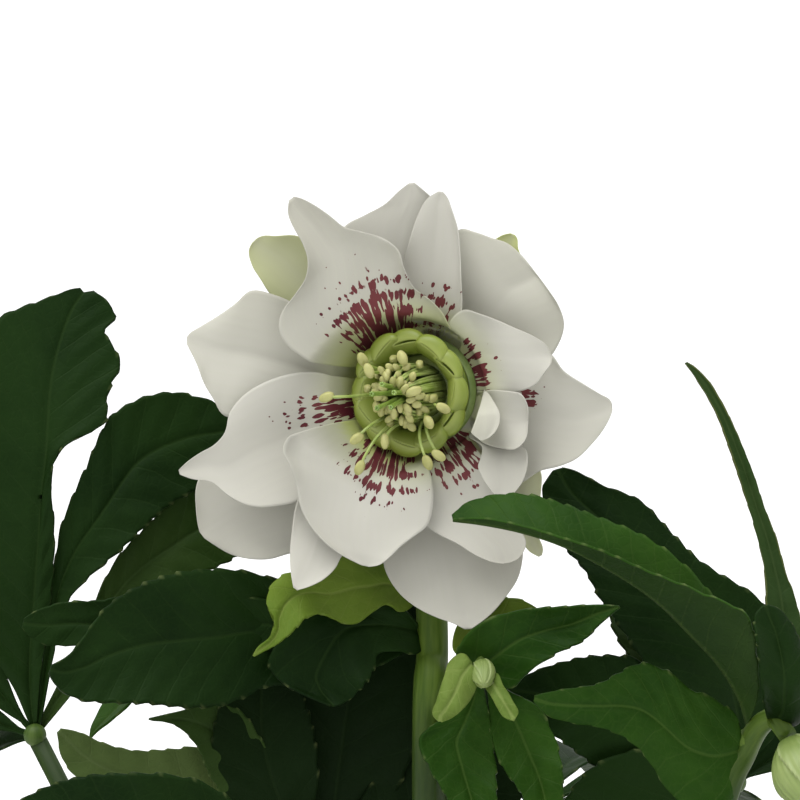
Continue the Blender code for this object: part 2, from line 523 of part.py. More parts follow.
def smooth_between(stops, t):
    """The value at t of a list of (t, value), on a smooth curve that never passes a stop."""
    if t <= stops[0][0]:
        return stops[0][1]
    if t >= stops[-1][0]:
        return stops[-1][1]
    rises = [(end[1] - start[1]) / (end[0] - start[0]) for start, end in zip(stops, stops[1:])]
    slopes = [rises[0]]
    for before, after in zip(rises, rises[1:]):
        level = before * after <= 0.0
        slopes.append(0.0 if level else 2.0 * before * after / (before + after))
    slopes.append(rises[-1])
    for index, ((t0, v0), (t1, v1)) in enumerate(zip(stops, stops[1:])):
        if t <= t1:
            span = t1 - t0
            return hermite(v0, slopes[index] * span, v1, slopes[index + 1] * span, (t - t0) / span)
    return stops[-1][1]


def smooth_line(knots):
    """LINE_STEPS even steps along a smooth curve through the knots."""
    knots = [Vector(knot) for knot in knots]
    gaps = [(end - start).length for start, end in zip(knots, knots[1:])]
    ways = [(end - start) / gap for start, end, gap in zip(knots, knots[1:], gaps)]
    turns = [ways[0]]
    for index in range(1, len(gaps)):
        near, far = gaps[index - 1], gaps[index]
        turns.append((ways[index - 1] * far + ways[index] * near) / (near + far))
    turns.append(ways[-1])
    fine = []
    for index, gap in enumerate(gaps):
        for step in range(12):
            fine.append(hermite(knots[index], turns[index] * gap, knots[index + 1],
                                turns[index + 1] * gap, step / 12))
    fine.append(knots[-1])
    reached = [0.0]
    for start, end in zip(fine, fine[1:]):
        reached.append(reached[-1] + (end - start).length)
    line = []
    on = 0
    for step in range(LINE_STEPS + 1):
        goal = reached[-1] * step / LINE_STEPS
        while on < len(fine) - 2 and reached[on + 1] < goal:
            on += 1
        share = (goal - reached[on]) / max(reached[on + 1] - reached[on], 1e-9)
        line.append(fine[on].lerp(fine[on + 1], min(max(share, 0.0), 1.0)))
    return line


def along_line(line, t):
    at = min(max(t, 0.0), 1.0) * LINE_STEPS
    on = min(int(at), LINE_STEPS - 1)
    return line[on].lerp(line[on + 1], at - on)


def curve_through(knots, steps):
    """Points along a smooth curve through the knots."""
    points = []
    for i in range(len(knots) - 1):
        before = knots[max(i - 1, 0)]
        after = knots[min(i + 2, len(knots) - 1)]
        leaving = (knots[i + 1] - before) * 0.5
        arriving = (after - knots[i]) * 0.5
        for step in range(steps):
            points.append(hermite(knots[i], leaving, knots[i + 1], arriving, step / steps))
    points.append(knots[-1])
    return points


# Materials, collections and solids


def material(name, colour, roughness):
    made = bpy.data.materials.new(name)
    made.use_nodes = True
    shader = made.node_tree.nodes["Principled BSDF"]
    shader.inputs["Base Color"].default_value = (*colour, 1.0)
    shader.inputs["Roughness"].default_value = roughness
    shader.inputs["Metallic"].default_value = 0.0
    return made


def new_object(name, mesh, collection):
    made = bpy.data.objects.new(name, mesh)
    collection.objects.link(made)
    return made


def evaluated_copy(source, name, collection):
    """The object as its modifiers leave it, as a plain mesh object; the source is removed."""
    graph = bpy.context.evaluated_depsgraph_get()
    mesh = bpy.data.meshes.new_from_object(source.evaluated_get(graph))
    made = new_object(name, mesh, collection)
    made.matrix_world = source.matrix_world
    bpy.data.objects.remove(source)
    return made


def from_bmesh(name, shape, collection):
    mesh = bpy.data.meshes.new(name)
    shape.to_mesh(mesh)
    shape.free()
    return new_object(name, mesh, collection)


def thickened(name, shape, thickness, collection):
    """An open surface made a closed blade of even thickness."""
    blade = from_bmesh(name + "_sheet", shape, collection)
    solidify = blade.modifiers.new("thickness", "SOLIDIFY")
    solidify.thickness = thickness * MM
    solidify.offset = 0.0
    return evaluated_copy(blade, name, collection)


def sheet(columns, rows, place):
    """A grid bent to place(s, t), s from -1 to 1 across and t from 0 to 1 along, in triangles."""
    shape = bmesh.new()
    bmesh.ops.create_grid(shape, x_segments=columns, y_segments=rows, size=1.0)
    for vertex in shape.verts:
        vertex.co = place(vertex.co.x, (vertex.co.y + 1.0) / 2.0) * MM
    bmesh.ops.triangulate(shape, faces=shape.faces)
    return shape


def tube(name, points, radii, sides, collection):
    """A round stem through the points, as a mesh with welded caps."""
    curve = bpy.data.curves.new(name, "CURVE")
    curve.dimensions = "3D"
    curve.bevel_depth = MM
    curve.bevel_resolution = sides // 2 - 2
    curve.use_fill_caps = True
    spline = curve.splines.new("POLY")
    spline.points.add(len(points) - 1)
    for knot, point, radius in zip(spline.points, points, radii):
        knot.co = (*(point * MM), 1.0)
        knot.radius = radius
    line = new_object(name + "_line", curve, collection)
    stem = evaluated_copy(line, name, collection)
    shape = bmesh.new()
    shape.from_mesh(stem.data)
    bmesh.ops.remove_doubles(shape, verts=shape.verts, dist=1e-6)
    shape.to_mesh(stem.data)
    shape.free()
    return stem


def ball(name, centre, radii, axis, collection, segments=8, rings=6):
    """An egg shape with its long axis along the given direction."""
    shape = bmesh.new()
    bmesh.ops.create_uvsphere(shape, u_segments=segments, v_segments=rings, radius=1.0)
    turn = axis.normalized().to_track_quat("Z", "Y")
    for vertex in shape.verts:
        scaled = Vector((vertex.co.x * radii[0], vertex.co.y * radii[1], vertex.co.z * radii[2]))
        vertex.co = (turn @ scaled + centre) * MM
    return from_bmesh(name, shape, collection)


def lathe(name, profile, segments, collection):
    """A turned solid: the profile (radius, height) runs down the outer side, top to bottom."""
    mesh = bpy.data.meshes.new(name)
    points = [(radius * MM, 0.0, height * MM) for radius, height in profile]
    closed = profile[0][0] > 0.0
    count = len(points)
    edges = [(i, i + 1) for i in range(count - 1)]
    if closed:
        edges.append((count - 1, 0))
    mesh.from_pydata(points, edges, [])
    outline = new_object(name + "_profile", mesh, collection)
    screw = outline.modifiers.new("turn", "SCREW")
    screw.steps = segments
    screw.render_steps = segments
    screw.use_merge_vertices = True
    screw.merge_threshold = 0.00001
    return evaluated_copy(outline, name, collection)


def largest_body(mesh):
    """Leaves the one outer body of a joined mesh: scraps and sealed hollows go."""
    shape = bmesh.new()
    shape.from_mesh(mesh)
    bmesh.ops.triangulate(shape, faces=shape.faces)
    unseen = set(shape.faces)
    bodies = []
    while unseen:
        front = [unseen.pop()]
        body = list(front)
        while front:
            face = front.pop()
            for edge in face.edges:
                for near in edge.link_faces:
                    if near in unseen:
                        unseen.remove(near)
                        front.append(near)
                        body.append(near)
        volume = 0.0
        for face in body:
            a, b, c = (loop.vert.co for loop in face.loops)
            volume += a.dot(b.cross(c)) / 6.0
        bodies.append((volume, body))
    bodies.sort(key=lambda entry: entry[0])
    scraps = [face for _, body in bodies[:-1] for face in body]
    bmesh.ops.delete(shape, geom=scraps, context="FACES")
    shape.to_mesh(mesh)
    shape.free()


def joined(name, pieces, finish, collection):
    """One solid from pieces that run into each other."""
    first = pieces[0]
    others = bpy.data.collections.new(name + "_pieces")
    for piece in pieces[1:]:
        for owner in list(piece.users_collection):
            owner.objects.unlink(piece)
        others.objects.link(piece)
    if len(pieces) > 1:
        union = first.modifiers.new("join", "BOOLEAN")
        union.operation = "UNION"
        union.operand_type = "COLLECTION"
        union.collection = others
        union.solver = "MANIFOLD"
    made = evaluated_copy(first, name, collection)
    for piece in pieces[1:]:
        bpy.data.objects.remove(piece)
    bpy.data.collections.remove(others)
    largest_body(made.data)
    made.data.materials.clear()
    made.data.materials.append(finish)
    return made


# Leaves


def blade_half_width(t, width, widest):
    """A lance-shaped outline: the half width at t along the blade."""
    power = math.log(0.5) / math.log(widest)
    full = math.sin(math.pi * min(max(t, 0.0), 1.0) ** power)
    return max(BLADE_FOOT * (1.0 - t), 0.35, width * max(full, 0.0) ** 0.85)


def plain_place(blade, s, t):
    """A point of a leaflet given by its base, bend and tip: s across it and t along it."""
    if "spine" in blade:
        spine = list(blade["spine"])
        face = Vector((0.0, 0.0, 1.0))
    else:
        spine = [seen(blade[part]) for part in ("base", "bend", "tip")]
        face = seen_direction(blade["face"])
    spine[0] = spine[0] + (spine[1] - spine[0]).normalized() * BLADE_START
    direction = bezier_direction(spine, t)
    side = direction.cross(face).normalized()
    normal = side.cross(direction).normalized()
    fold = blade.get("fold", BLADE_FOLD)
    half = blade_half_width(t, blade["width"], blade["widest"])
    reach = abs(s)
    ahead = 0.0
    if reach > 0.99 and 0.0 < t < 1.0:
        on_tooth = round(t * LEAF_ROWS) % 2 == 1
        half *= 1.0 + TOOTH if on_tooth else 1.0 - TOOTH
        ahead = (TOOTH_AHEAD if on_tooth else 0.0) * (spine[2] - spine[0]).length / LEAF_ROWS
    ripple = BLADE_WAVE * reach * math.sin(4.0 * math.pi * t + blade.get("phase", 0.0) + s)
    lift = reach * half * math.sin(fold) + ripple * min(1.0, half / FULL_WIDTH)
    outward = side * (s * half * math.cos(fold))
    return bezier(spine, t) + outward + normal * lift + direction * ahead


def leaflet_lines(blade):
    """The two margins of a measured leaflet and its midrib, from its foot to its tip."""
    base = Vector(blade["at"])
    first = (Vector(blade["a"][0]) + Vector(blade["b"][0])) / 2
    way = (first - base).normalized()
    left = Vector((way.y, -way.x)) * (BLADE_FOOT / UNIT)
    foot = base + way * (BLADE_START / UNIT)
    a = smooth_line([foot + left, *blade["a"], blade["tip"]])
    b = smooth_line([foot - left, *blade["b"], blade["tip"]])
    rib = smooth_line([foot, *blade["mid"], blade["tip"]]) if "mid" in blade else None
    return a, b, rib


def measured_place(blade, lines, s, t):
    """A point of a leaflet given by its margins in the front view."""
    a, b, rib = lines
    t = t * TIP_SHARE
    left, right = along_line(a, t), along_line(b, t)
    middle = along_line(rib, t) if rib else (left + right) * 0.5
    margin = right if s > 0 else left
    half = (margin - middle).length * UNIT
    reach = abs(s)
    spread = reach
    if reach > 0.99 and 0.0 < t < TIP_SHARE:
        on_tooth = round(t / TIP_SHARE * MEASURED_ROWS) % 2 == 1
        spread *= 1.0 + MEASURED_TOOTH if on_tooth else 1.0 - MEASURED_TOOTH
    full = min(1.0, half / FULL_WIDTH)
    rise = blade["lift"][1 if s > 0 else 0] * (reach if rib else s * s) * full
    ripple = BLADE_WAVE * reach * math.sin(4.0 * math.pi * t + s) * full
    spot = middle + (margin - middle) * spread
    return view_point(spot.x, spot.y, smooth_between(blade["depth"], t) + rise + ripple)


def leaflet(name, blade, rows, collection):
    if "at" in blade:
        lines = leaflet_lines(blade)
        shape = sheet(2, rows, lambda s, t: measured_place(blade, lines, s, t))
    else:
        shape = sheet(2, rows, lambda s, t: plain_place(blade, s, t))
    return thickened(name, shape, LEAF_THICKNESS, collection)


def other_leaf_blades(leaf, draw):
    """A fan of leaflets about the junction, the middle ones longest, all drooping at the tip."""
    blades = []
    centre = Vector(leaf["junction"])
    for index in range(OTHER_LEAFLETS):
        share = index / (OTHER_LEAFLETS - 1) * 2.0 - 1.0
        turn = math.radians(leaf["lean"] + share * leaf["spread"] + draw.uniform(-3.0, 3.0))
        length = leaf["length"] * (1.0 - 0.28 * share * share) * draw.uniform(0.94, 1.06)
        out = Vector((math.cos(turn), math.sin(turn), 0.0))
        bend = centre + out * (length * 0.5) + Vector((0.0, 0.0, length * 0.22))
        tip = centre + out * (length * 0.92) - Vector((0.0, 0.0, length * leaf["droop"] * 0.4))
        blades.append(dict(spine=[centre, bend, tip], width=length * 0.15, widest=0.6,
                           phase=index))
    return blades


def leafy_stem(name, knots, radii, blades, finish, parts, work):
    """A stem from its foot in the soil through the knots, with its leaflets, as one solid."""
    x, y, _ = FEET[name]
    low = Vector((x, y, SOIL_TOP - STEM_HOLE_DEPTH + 2.0))
    above_soil = Vector((x, y, SOIL_TOP + 8.0))
    points = [low] + curve_through([above_soil] + knots[:-1], STEM_STEPS) + knots[-1:]
    last = len(points) - 1
    sizes = [radii[0] + (radii[1] - radii[0]) * i / last for i in range(last + 1)]
    pieces = [tube(name + "_stem", points, sizes, STEM_SIDES, work)]
    first = blades[0]
    start = first["spine"][0] if "spine" in first else view_point(*first["at"], first["depth"][0][1])
    pieces.append(ball(name + "_junction", start, (JUNCTION_RADIUS,) * 3, Vector((0, 0, 1)),
                       work, 8, 4))
    for index, blade in enumerate(blades):
        rows = MEASURED_ROWS if "at" in blade else LEAF_ROWS
        pieces.append(leaflet(f"{name}_blade_{index}", blade, rows, work))
    return joined(name, pieces, finish, parts)


def build_leaves(parts, work):
    finish = material("leaf_green", (0.035, 0.085, 0.020), 0.45)
    measured = [
        ("basal_leaf_left", (-36.0, 2.0, 190.0), LEFT_JUNCTION, LEFT_LEAF),
        ("basal_leaf_back_right", (36.0, 8.0, 190.0), BACK_RIGHT_JUNCTION, BACK_RIGHT_LEAF),
        ("basal_leaf_centre", (-10.0, 8.0, 190.0), CENTRE_JUNCTION, CENTRE_LEAF),
        ("basal_leaf_front_left", (-18.0, -26.0, 180.0), FRONT_LEFT_JUNCTION, FRONT_LEFT_LEAF),
    ]
    for name, middle, junction, blades in measured:
        leafy_stem(name, [Vector(middle), seen(junction)], PETIOLE_RADII, blades, finish, parts,
                   work)
    draw = random.Random(7)
    for leaf in OTHER_LEAVES:
        x, y, _ = FEET[leaf["name"]]
        junction = Vector(leaf["junction"])
        middle = Vector((x, y, SOIL_TOP)).lerp(junction, 0.45) + Vector((0.0, 0.0, 14.0))
        leafy_stem(leaf["name"], [middle, junction], PETIOLE_RADII,
                   other_leaf_blades(leaf, draw), finish, parts, work)


def build_flower_stems(parts, work):
    finish = material("stem_green", (0.10, 0.17, 0.04), 0.5)
    knots = [seen(place) for place in MAIN_STEM]
    hub_back = HUB_DEPTH - HUB_THICKNESS - RING_GAP
    knots += [bloom_point(0.0, 0.0, hub_back - 5.0), bloom_point(0.0, 0.0, hub_back)]
    leafy_stem("flower_stem_main", knots, STEM_RADII["main"], MAIN_BRACTS, finish, parts, work)
    leafy_stem("flower_stem_middle", [seen(place) for place in MIDDLE_STEM],
               STEM_RADII["middle"], MIDDLE_BRACTS, finish, parts, work)
    leafy_stem("flower_stem_right", [seen(place) for place in RIGHT_STEM],
               STEM_RADII["right"], RIGHT_BRACTS, finish, parts, work)
    blades = []
    for degrees, length, drop in BACK_BRACTS:
        turn = math.radians(degrees)
        out = Vector((math.cos(turn), math.sin(turn), 0.0))
        bend = BACK_BRACTS_AT + out * (length * 0.5) + Vector((0.0, 0.0, length * 0.3))
        tip = BACK_BRACTS_AT + out * (length * 0.9) - Vector((0.0, 0.0, drop))
        blades.append(dict(spine=[BACK_BRACTS_AT, bend, tip], width=length * 0.16, widest=0.6,
                           phase=degrees))
    leafy_stem("flower_stem_back", [Vector(knot) for knot in BACK_STEM_KNOTS],
               STEM_RADII["back"], blades, finish, parts, work)


# Bloom


def clear_of_cup(point):
    """The point, pressed down outside the nectaries where it would run into them."""
    flat = point - BLOOM_CENTRE
    height = flat.dot(BLOOM_AXIS)
    radius = (flat - BLOOM_AXIS * height).length
    highest = CUP_FOOT_HEIGHT + max(0.0, radius - CUP_FOOT_RADIUS) * CUP_SLOPE
    return point - BLOOM_AXIS * max(0.0, height - highest)


def tepal_lines(tepal):
    """The two margins of a tepal, from its root on the hub to its tip, and its depth along it."""
    lines = []
    for key, sign in (("a", 1.0), ("b", -1.0)):
        turn = math.radians(tepal["root"]) + sign * TEPAL_ROOT_SPREAD
        foot, depth = view_of(bloom_ring_point(TEPAL_ROOT_RADIUS, turn, TEPAL_ROOT_DEPTH))
        lines.append(smooth_line([foot, *tepal[key], tepal["tip"]]))
    return lines, [(0.0, depth), *tepal["depth"]]


def tepal_place(tepal, lines, stops, s, t):
    """A point of a tepal: s across it and t along it."""
    t = t * TIP_SHARE
    left, right = (along_line(line, t) for line in lines)
    middle = (left + right) * 0.5
    margin = right if s > 0 else left
    full = min(1.0, (margin - middle).length * UNIT / 5.0)
    spot = middle + (margin - middle) * abs(s)
    lift = tepal["lift"][1 if s > 0 else 0] * s * s * full
    return clear_of_cup(view_point(spot.x, spot.y, smooth_between(stops, t) + lift))


def stood_on_bloom(piece, height):
    """Moves a turned piece from the origin onto the bloom's axis."""
    for vertex in piece.data.vertices:
        x, y, z = vertex.co / MM
        vertex.co = bloom_point(x, y, z + height) * MM
    return piece


def bloom_ring(name, inner, outer, base, work):
    """A flat ring round the bloom's axis, or a disc where inner is 0."""
    profile = [(inner, RING_THICKNESS), (outer, RING_THICKNESS), (outer, 0.0), (inner, 0.0)]
    return stood_on_bloom(lathe(name, profile, RING_SEGMENTS, work), base)


def trumpet(name, turn, base, collection):
    """A nectary: an oval foot that widens to a flat mouth, with the lip toward the axis lower."""
    shape = bmesh.new()
    bmesh.ops.create_cone(shape, cap_ends=True, segments=8, radius1=1.0, radius2=1.0, depth=1.0)
    foot = bloom_ring_point(NECTARY_FOOT_RADIUS, turn, base)
    ray = bloom_ring_point(1.0, turn, 0.0) - BLOOM_CENTRE
    tangent = BLOOM_AXIS.cross(ray)
    for vertex in shape.verts:
        outward, across, share = vertex.co.x, vertex.co.y, vertex.co.z + 0.5
        deep = NECTARY_FOOT[0] + (NECTARY_MOUTH[0] - NECTARY_FOOT[0]) * share
        wide = NECTARY_FOOT[1] + (NECTARY_MOUTH[1] - NECTARY_FOOT[1]) * share
        height = NECTARY_HEIGHT * share - NECTARY_LIP_DROP * share * max(0.0, -outward)
        out = ray * (outward * deep + NECTARY_LEAN * share) + tangent * (across * wide)
        vertex.co = (foot + out + BLOOM_AXIS * height) * MM
    return from_bmesh(name, shape, collection)


def build_bloom(parts, work):
    white = material("tepal_white", (0.62, 0.61, 0.53), 0.55)
    cup_green = material("nectary_green", (0.24, 0.32, 0.06), 0.45)
    cream = material("anther_cream", (0.55, 0.54, 0.28), 0.6)
    carpel_green = material("carpel_green", (0.30, 0.42, 0.12), 0.5)

    hub = lathe("hub", [(0.0, 0.0), (HUB_RADIUS, 0.0), (HUB_RADIUS - HUB_TAPER, -HUB_THICKNESS),
                        (0.0, -HUB_THICKNESS)], RING_SEGMENTS, work)
    pieces = [stood_on_bloom(hub, HUB_DEPTH)]
    for name, tepal in TEPALS.items():
        lines, stops = tepal_lines(tepal)
        shape = sheet(TEPAL_COLUMNS, TEPAL_ROWS,
                      lambda s, t: tepal_place(tepal, lines, stops, s, t))
        pieces.append(thickened(name, shape, TEPAL_THICKNESS, work))
    joined("bloom_tepals", pieces, white, parts)

    base = HUB_DEPTH + RING_GAP
    on_ring = base + RING_THICKNESS * 0.5
    pieces = [bloom_ring("nectary_ring", *NECTARY_RING, base, work)]
    for index in range(NECTARY_COUNT):
        turn = 2.0 * math.pi * index / NECTARY_COUNT
        pieces.append(trumpet(f"nectary_{index}", turn, on_ring, work))
    joined("bloom_nectaries", pieces, cup_green, parts)

    pieces = [bloom_ring("stamen_ring", *STAMEN_RING, base, work)]
    draw = random.Random(3)
    ends = [front_point(*place) for place in LONG_STAMENS]
    for index in range(STAMENS_SEEDED):
        turn = 2.0 * math.pi * (index + draw.uniform(-0.2, 0.2)) / STAMENS_SEEDED
        ends.append(bloom_ring_point(draw.uniform(4.4, 6.6), turn, draw.uniform(1.0, 4.0)))
    for index, end in enumerate(ends):
        flat = end - BLOOM_CENTRE
        turn = math.atan2(flat.dot(BLOOM_UP), flat.dot(BLOOM_RIGHT))
        low = bloom_ring_point(STAMEN_FOOT_RADIUS, turn, on_ring)
        bend = bloom_ring_point(STAMEN_FOOT_RADIUS + 0.3, turn, max(4.0, flat.dot(BLOOM_AXIS)))
        spine = [low, bend, end]
        points = [bezier(spine, step / 2.0) for step in range(3)]
        pieces.append(tube(f"filament_{index}", points, [FILAMENT_RADIUS] * 3, 4, work))
        pieces.append(ball(f"anther_{index}", end, ANTHER_RADII, bezier_direction(spine, 1.0),
                           work, 5, 4))
    joined("bloom_stamens", pieces, cream, parts)

    pieces = [bloom_ring("carpel_seat", 0.0, CARPEL_SEAT_RADIUS, base, work)]
    for index in range(CARPEL_COUNT):
        turn = 2.0 * math.pi * index / CARPEL_COUNT + CARPEL_TURN
        points = [bloom_ring_point(radius, turn, height) for radius, height in CARPEL_KNOTS]
        pieces.append(tube(f"carpel_{index}", points, CARPEL_RADII, 6, work))
    joined("bloom_carpels", pieces, carpel_green, parts)


# Buds


def bud_swell(t):
    """How full a closed bud is at t from its stalk to its point."""
    return math.sin(math.pi * min(1.0, 0.06 + 0.9 * t)) ** 0.62 * (1.0 - 0.25 * t)


def bud_solid(name, start, along, length, radius, extra, finish, parts, work):
    """A closed bud whose tepals overlap round it, each lifting off the next at its edge."""
    side = along.orthogonal().normalized()
    up = side.cross(along)
    shape = bmesh.new()
    bmesh.ops.create_uvsphere(shape, u_segments=BUD_SEGMENTS, v_segments=BUD_RINGS, radius=1.0)
    for vertex in shape.verts:
        x, y, z = vertex.co
        t = 0.5 - math.asin(max(-1.0, min(1.0, z))) / math.pi
        turn = math.atan2(y, x)
        step = ((turn + BUD_SPIRAL * t) / (2.0 * math.pi) * BUD_TEPALS) % 1.0
        pole = math.hypot(x, y) < 0.001
        reach = 0.0 if pole else radius * bud_swell(t) * (1.0 + BUD_EDGE * step)
        out = side * math.cos(turn) + up * math.sin(turn)
        vertex.co = (start + along * (length * t) + out * reach) * MM
    core = from_bmesh(name + "_core", shape, work)
    return joined(name, [core] + extra, finish, parts)


def build_buds(parts, work):
    finish = material("bud_pale_green", (0.36, 0.42, 0.20), 0.55)
    for name, bud in BUDS.items():
        extra = []
        if name == "bud_middle":
            for index, blade in enumerate(BUD_BRACTS):
                extra.append(leaflet(f"bud_bract_{index}", blade, BUD_BRACT_ROWS, work))
        bud_solid(name, seen(bud["at"]), seen_direction(bud["hang"]), bud["length"],
                  bud["radius"], extra, finish, parts, work)
    bud_solid("bud_back", Vector(BACK_BUD["at"]), Vector(BACK_BUD["hang"]).normalized(),
              BACK_BUD["length"], BACK_BUD["radius"], [], finish, parts, work)


# Pot and soil


def pot_radius(height):
    """The outer radius of the pot's tapering wall."""
    return POT_FOOT_RADIUS + (POT_TOP_RADIUS - RIM_PROUD - POT_FOOT_RADIUS) * height / POT_HEIGHT


def cylinder(name, radius, low, high, at, segments, collection):
    shape = bmesh.new()
    bmesh.ops.create_cone(shape, cap_ends=True, segments=segments, radius1=radius * MM,
                          radius2=radius * MM, depth=(high - low) * MM)
    made = from_bmesh(name, shape, collection)
    made.location = Vector((at[0], at[1], (low + high) / 2.0)) * MM
    return made


def cut(target, cutters, cutter_collection, label):
    """Cuts the cutters out of the target, keeping the modifier on it."""
    group = bpy.data.collections.new(label)
    cutter_collection.children.link(group)
    for cutter in cutters:
        for owner in list(cutter.users_collection):
            owner.objects.unlink(cutter)
        group.objects.link(cutter)
        cutter.hide_render = True
        cutter.display_type = "WIRE"
    hole = target.modifiers.new(label, "BOOLEAN")
    hole.operation = "DIFFERENCE"
    hole.operand_type = "COLLECTION"
    hole.collection = group
    hole.solver = "EXACT"


def build_pot(parts, work, cutters):
    finish = material("pot_plastic", (0.012, 0.013, 0.014), 0.55)
    rim_low = POT_HEIGHT - RIM_HEIGHT
    floor = FOOT_HEIGHT + FLOOR_THICKNESS
    foot_outer = POT_FOOT_RADIUS - FOOT_SLOPE
    foot_inner = foot_outer - FOOT_RING_WIDTH
    profile = [
        (POT_TOP_RADIUS - POT_WALL - 0.6, POT_HEIGHT),
        (POT_TOP_RADIUS - 0.6, POT_HEIGHT),
        (POT_TOP_RADIUS, POT_HEIGHT - 0.8),
        (POT_TOP_RADIUS, rim_low),
        (pot_radius(rim_low), rim_low - 0.6),
        (pot_radius(FOOT_HEIGHT), FOOT_HEIGHT),
        (foot_outer, 0.0),
        (foot_inner, 0.0),
        (foot_inner - 0.6, FOOT_HEIGHT),
        (FLOOR_DISC_RADIUS + 1.5, FOOT_HEIGHT),
        (FLOOR_DISC_RADIUS, 0.0),
        (0.0, 0.0),
        (0.0, floor),
        (pot_radius(floor) - POT_WALL, floor),
        (pot_radius(rim_low) - POT_WALL, rim_low),
        (POT_TOP_RADIUS - POT_WALL - 1.4, rim_low + 1.2),
    ]
    pot = lathe("pot", profile, POT_SEGMENTS, parts)
    pot.data.materials.append(finish)
    holes = []
    for index in range(DRAIN_HOLES):
        turn = 2.0 * math.pi * (index + 0.5) / DRAIN_HOLES
        at = (DRAIN_RING_RADIUS * math.cos(turn), DRAIN_RING_RADIUS * math.sin(turn))
        holes.append(cylinder(f"drain_cutter_{index}", DRAIN_HOLE_RADIUS, -4.0, floor + 4.0, at,
                              12, work))
    cut(pot, holes, cutters, "drain_holes")


def build_soil(parts, work, cutters):
    finish = material("potting_soil", (0.045, 0.028, 0.018), 0.95)
    floor = FOOT_HEIGHT + FLOOR_THICKNESS + SOIL_GAP
    wall = POT_WALL + SOIL_GAP + SOIL_FACET_GAP
    profile = [
        (0.0, SOIL_TOP + SOIL_CROWN_RISE),
        (30.0, SOIL_TOP + SOIL_CROWN_RISE * 0.8),
        (60.0, SOIL_TOP + SOIL_CROWN_RISE * 0.2),
        (pot_radius(SOIL_TOP) - wall - 0.5, SOIL_TOP),
        (pot_radius(SOIL_TOP - 2.0) - wall, SOIL_TOP - 2.0),
        (pot_radius(floor + 4.0) - wall, floor + 4.0),
        (pot_radius(floor) - wall - 2.1, floor),
        (0.0, floor),
    ]
    soil = lathe("soil", profile, SOIL_SEGMENTS, parts)
    soil.data.materials.append(finish)
    holes = []
    for name, (x, y, radius) in FEET.items():
        holes.append(cylinder("hole_of_" + name, radius + STEM_HOLE_GAP,
                              SOIL_TOP - STEM_HOLE_DEPTH, SOIL_TOP + 20.0, (x, y), HOLE_SIDES,
                              work))
    cut(soil, holes, cutters, "stem_holes")


def main():
    for old in list(bpy.data.objects):
        bpy.data.objects.remove(old)
    parts = bpy.data.collections.new("potted_hellebore")
    work = bpy.data.collections.new("pieces_in_the_making")
    cutters = bpy.data.collections.new("cutters")
    for collection in (parts, work, cutters):
        bpy.context.scene.collection.children.link(collection)
    build_leaves(parts, work)
    build_flower_stems(parts, work)
    build_bloom(parts, work)
    build_buds(parts, work)
    build_pot(parts, work, cutters)
    build_soil(parts, work, cutters)


main()
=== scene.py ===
import math
import random

import bmesh
import bpy
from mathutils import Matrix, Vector, noise


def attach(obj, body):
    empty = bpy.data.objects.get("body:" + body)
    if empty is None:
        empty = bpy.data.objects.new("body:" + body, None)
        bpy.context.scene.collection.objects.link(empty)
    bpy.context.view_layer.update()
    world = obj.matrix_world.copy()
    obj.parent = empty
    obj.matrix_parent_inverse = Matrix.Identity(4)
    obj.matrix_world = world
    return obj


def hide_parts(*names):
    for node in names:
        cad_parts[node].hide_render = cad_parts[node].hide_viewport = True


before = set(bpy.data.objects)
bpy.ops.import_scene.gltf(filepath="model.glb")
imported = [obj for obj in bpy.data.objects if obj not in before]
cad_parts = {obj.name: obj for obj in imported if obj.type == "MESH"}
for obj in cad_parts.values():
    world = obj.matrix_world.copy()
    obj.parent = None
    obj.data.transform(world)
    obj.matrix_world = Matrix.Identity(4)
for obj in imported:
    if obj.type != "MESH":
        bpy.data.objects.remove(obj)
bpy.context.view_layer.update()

MM = 0.001
CHART_UNIT = 100.0
MERGE = 0.000002

# The front view that the plant is measured in, in millimetres
VIEW_ELEVATION = math.radians(8.0)
VIEW_DISTANCE = 600.0
VIEW_UNITS = 800
UNIT = 0.1728
VIEW_WIDTH = VIEW_UNITS * UNIT
BLOOM_CENTRE = Vector((-2.0, -30.0, 330.0))
ACROSS = Vector((1.0, 0.0, 0.0))
TOWARD = Vector((0.0, -math.cos(VIEW_ELEVATION), math.sin(VIEW_ELEVATION)))
UPWARD = Vector((0.0, math.sin(VIEW_ELEVATION), math.cos(VIEW_ELEVATION)))
VIEW_MIDDLE = BLOOM_CENTRE - ACROSS * 1.4 - UPWARD * 1.2

BLOOM_LEAN_LEFT = math.radians(24.0)
BLOOM_LEAN_DOWN = math.radians(4.0)
BLOOM_AXIS = (
    ACROSS * -math.sin(BLOOM_LEAN_LEFT)
    + UPWARD * -math.sin(BLOOM_LEAN_DOWN)
    + TOWARD * math.cos(BLOOM_LEAN_LEFT)
).normalized()
BLOOM_RIGHT = (ACROSS - BLOOM_AXIS * ACROSS.dot(BLOOM_AXIS)).normalized()
BLOOM_UP = BLOOM_AXIS.cross(BLOOM_RIGHT)

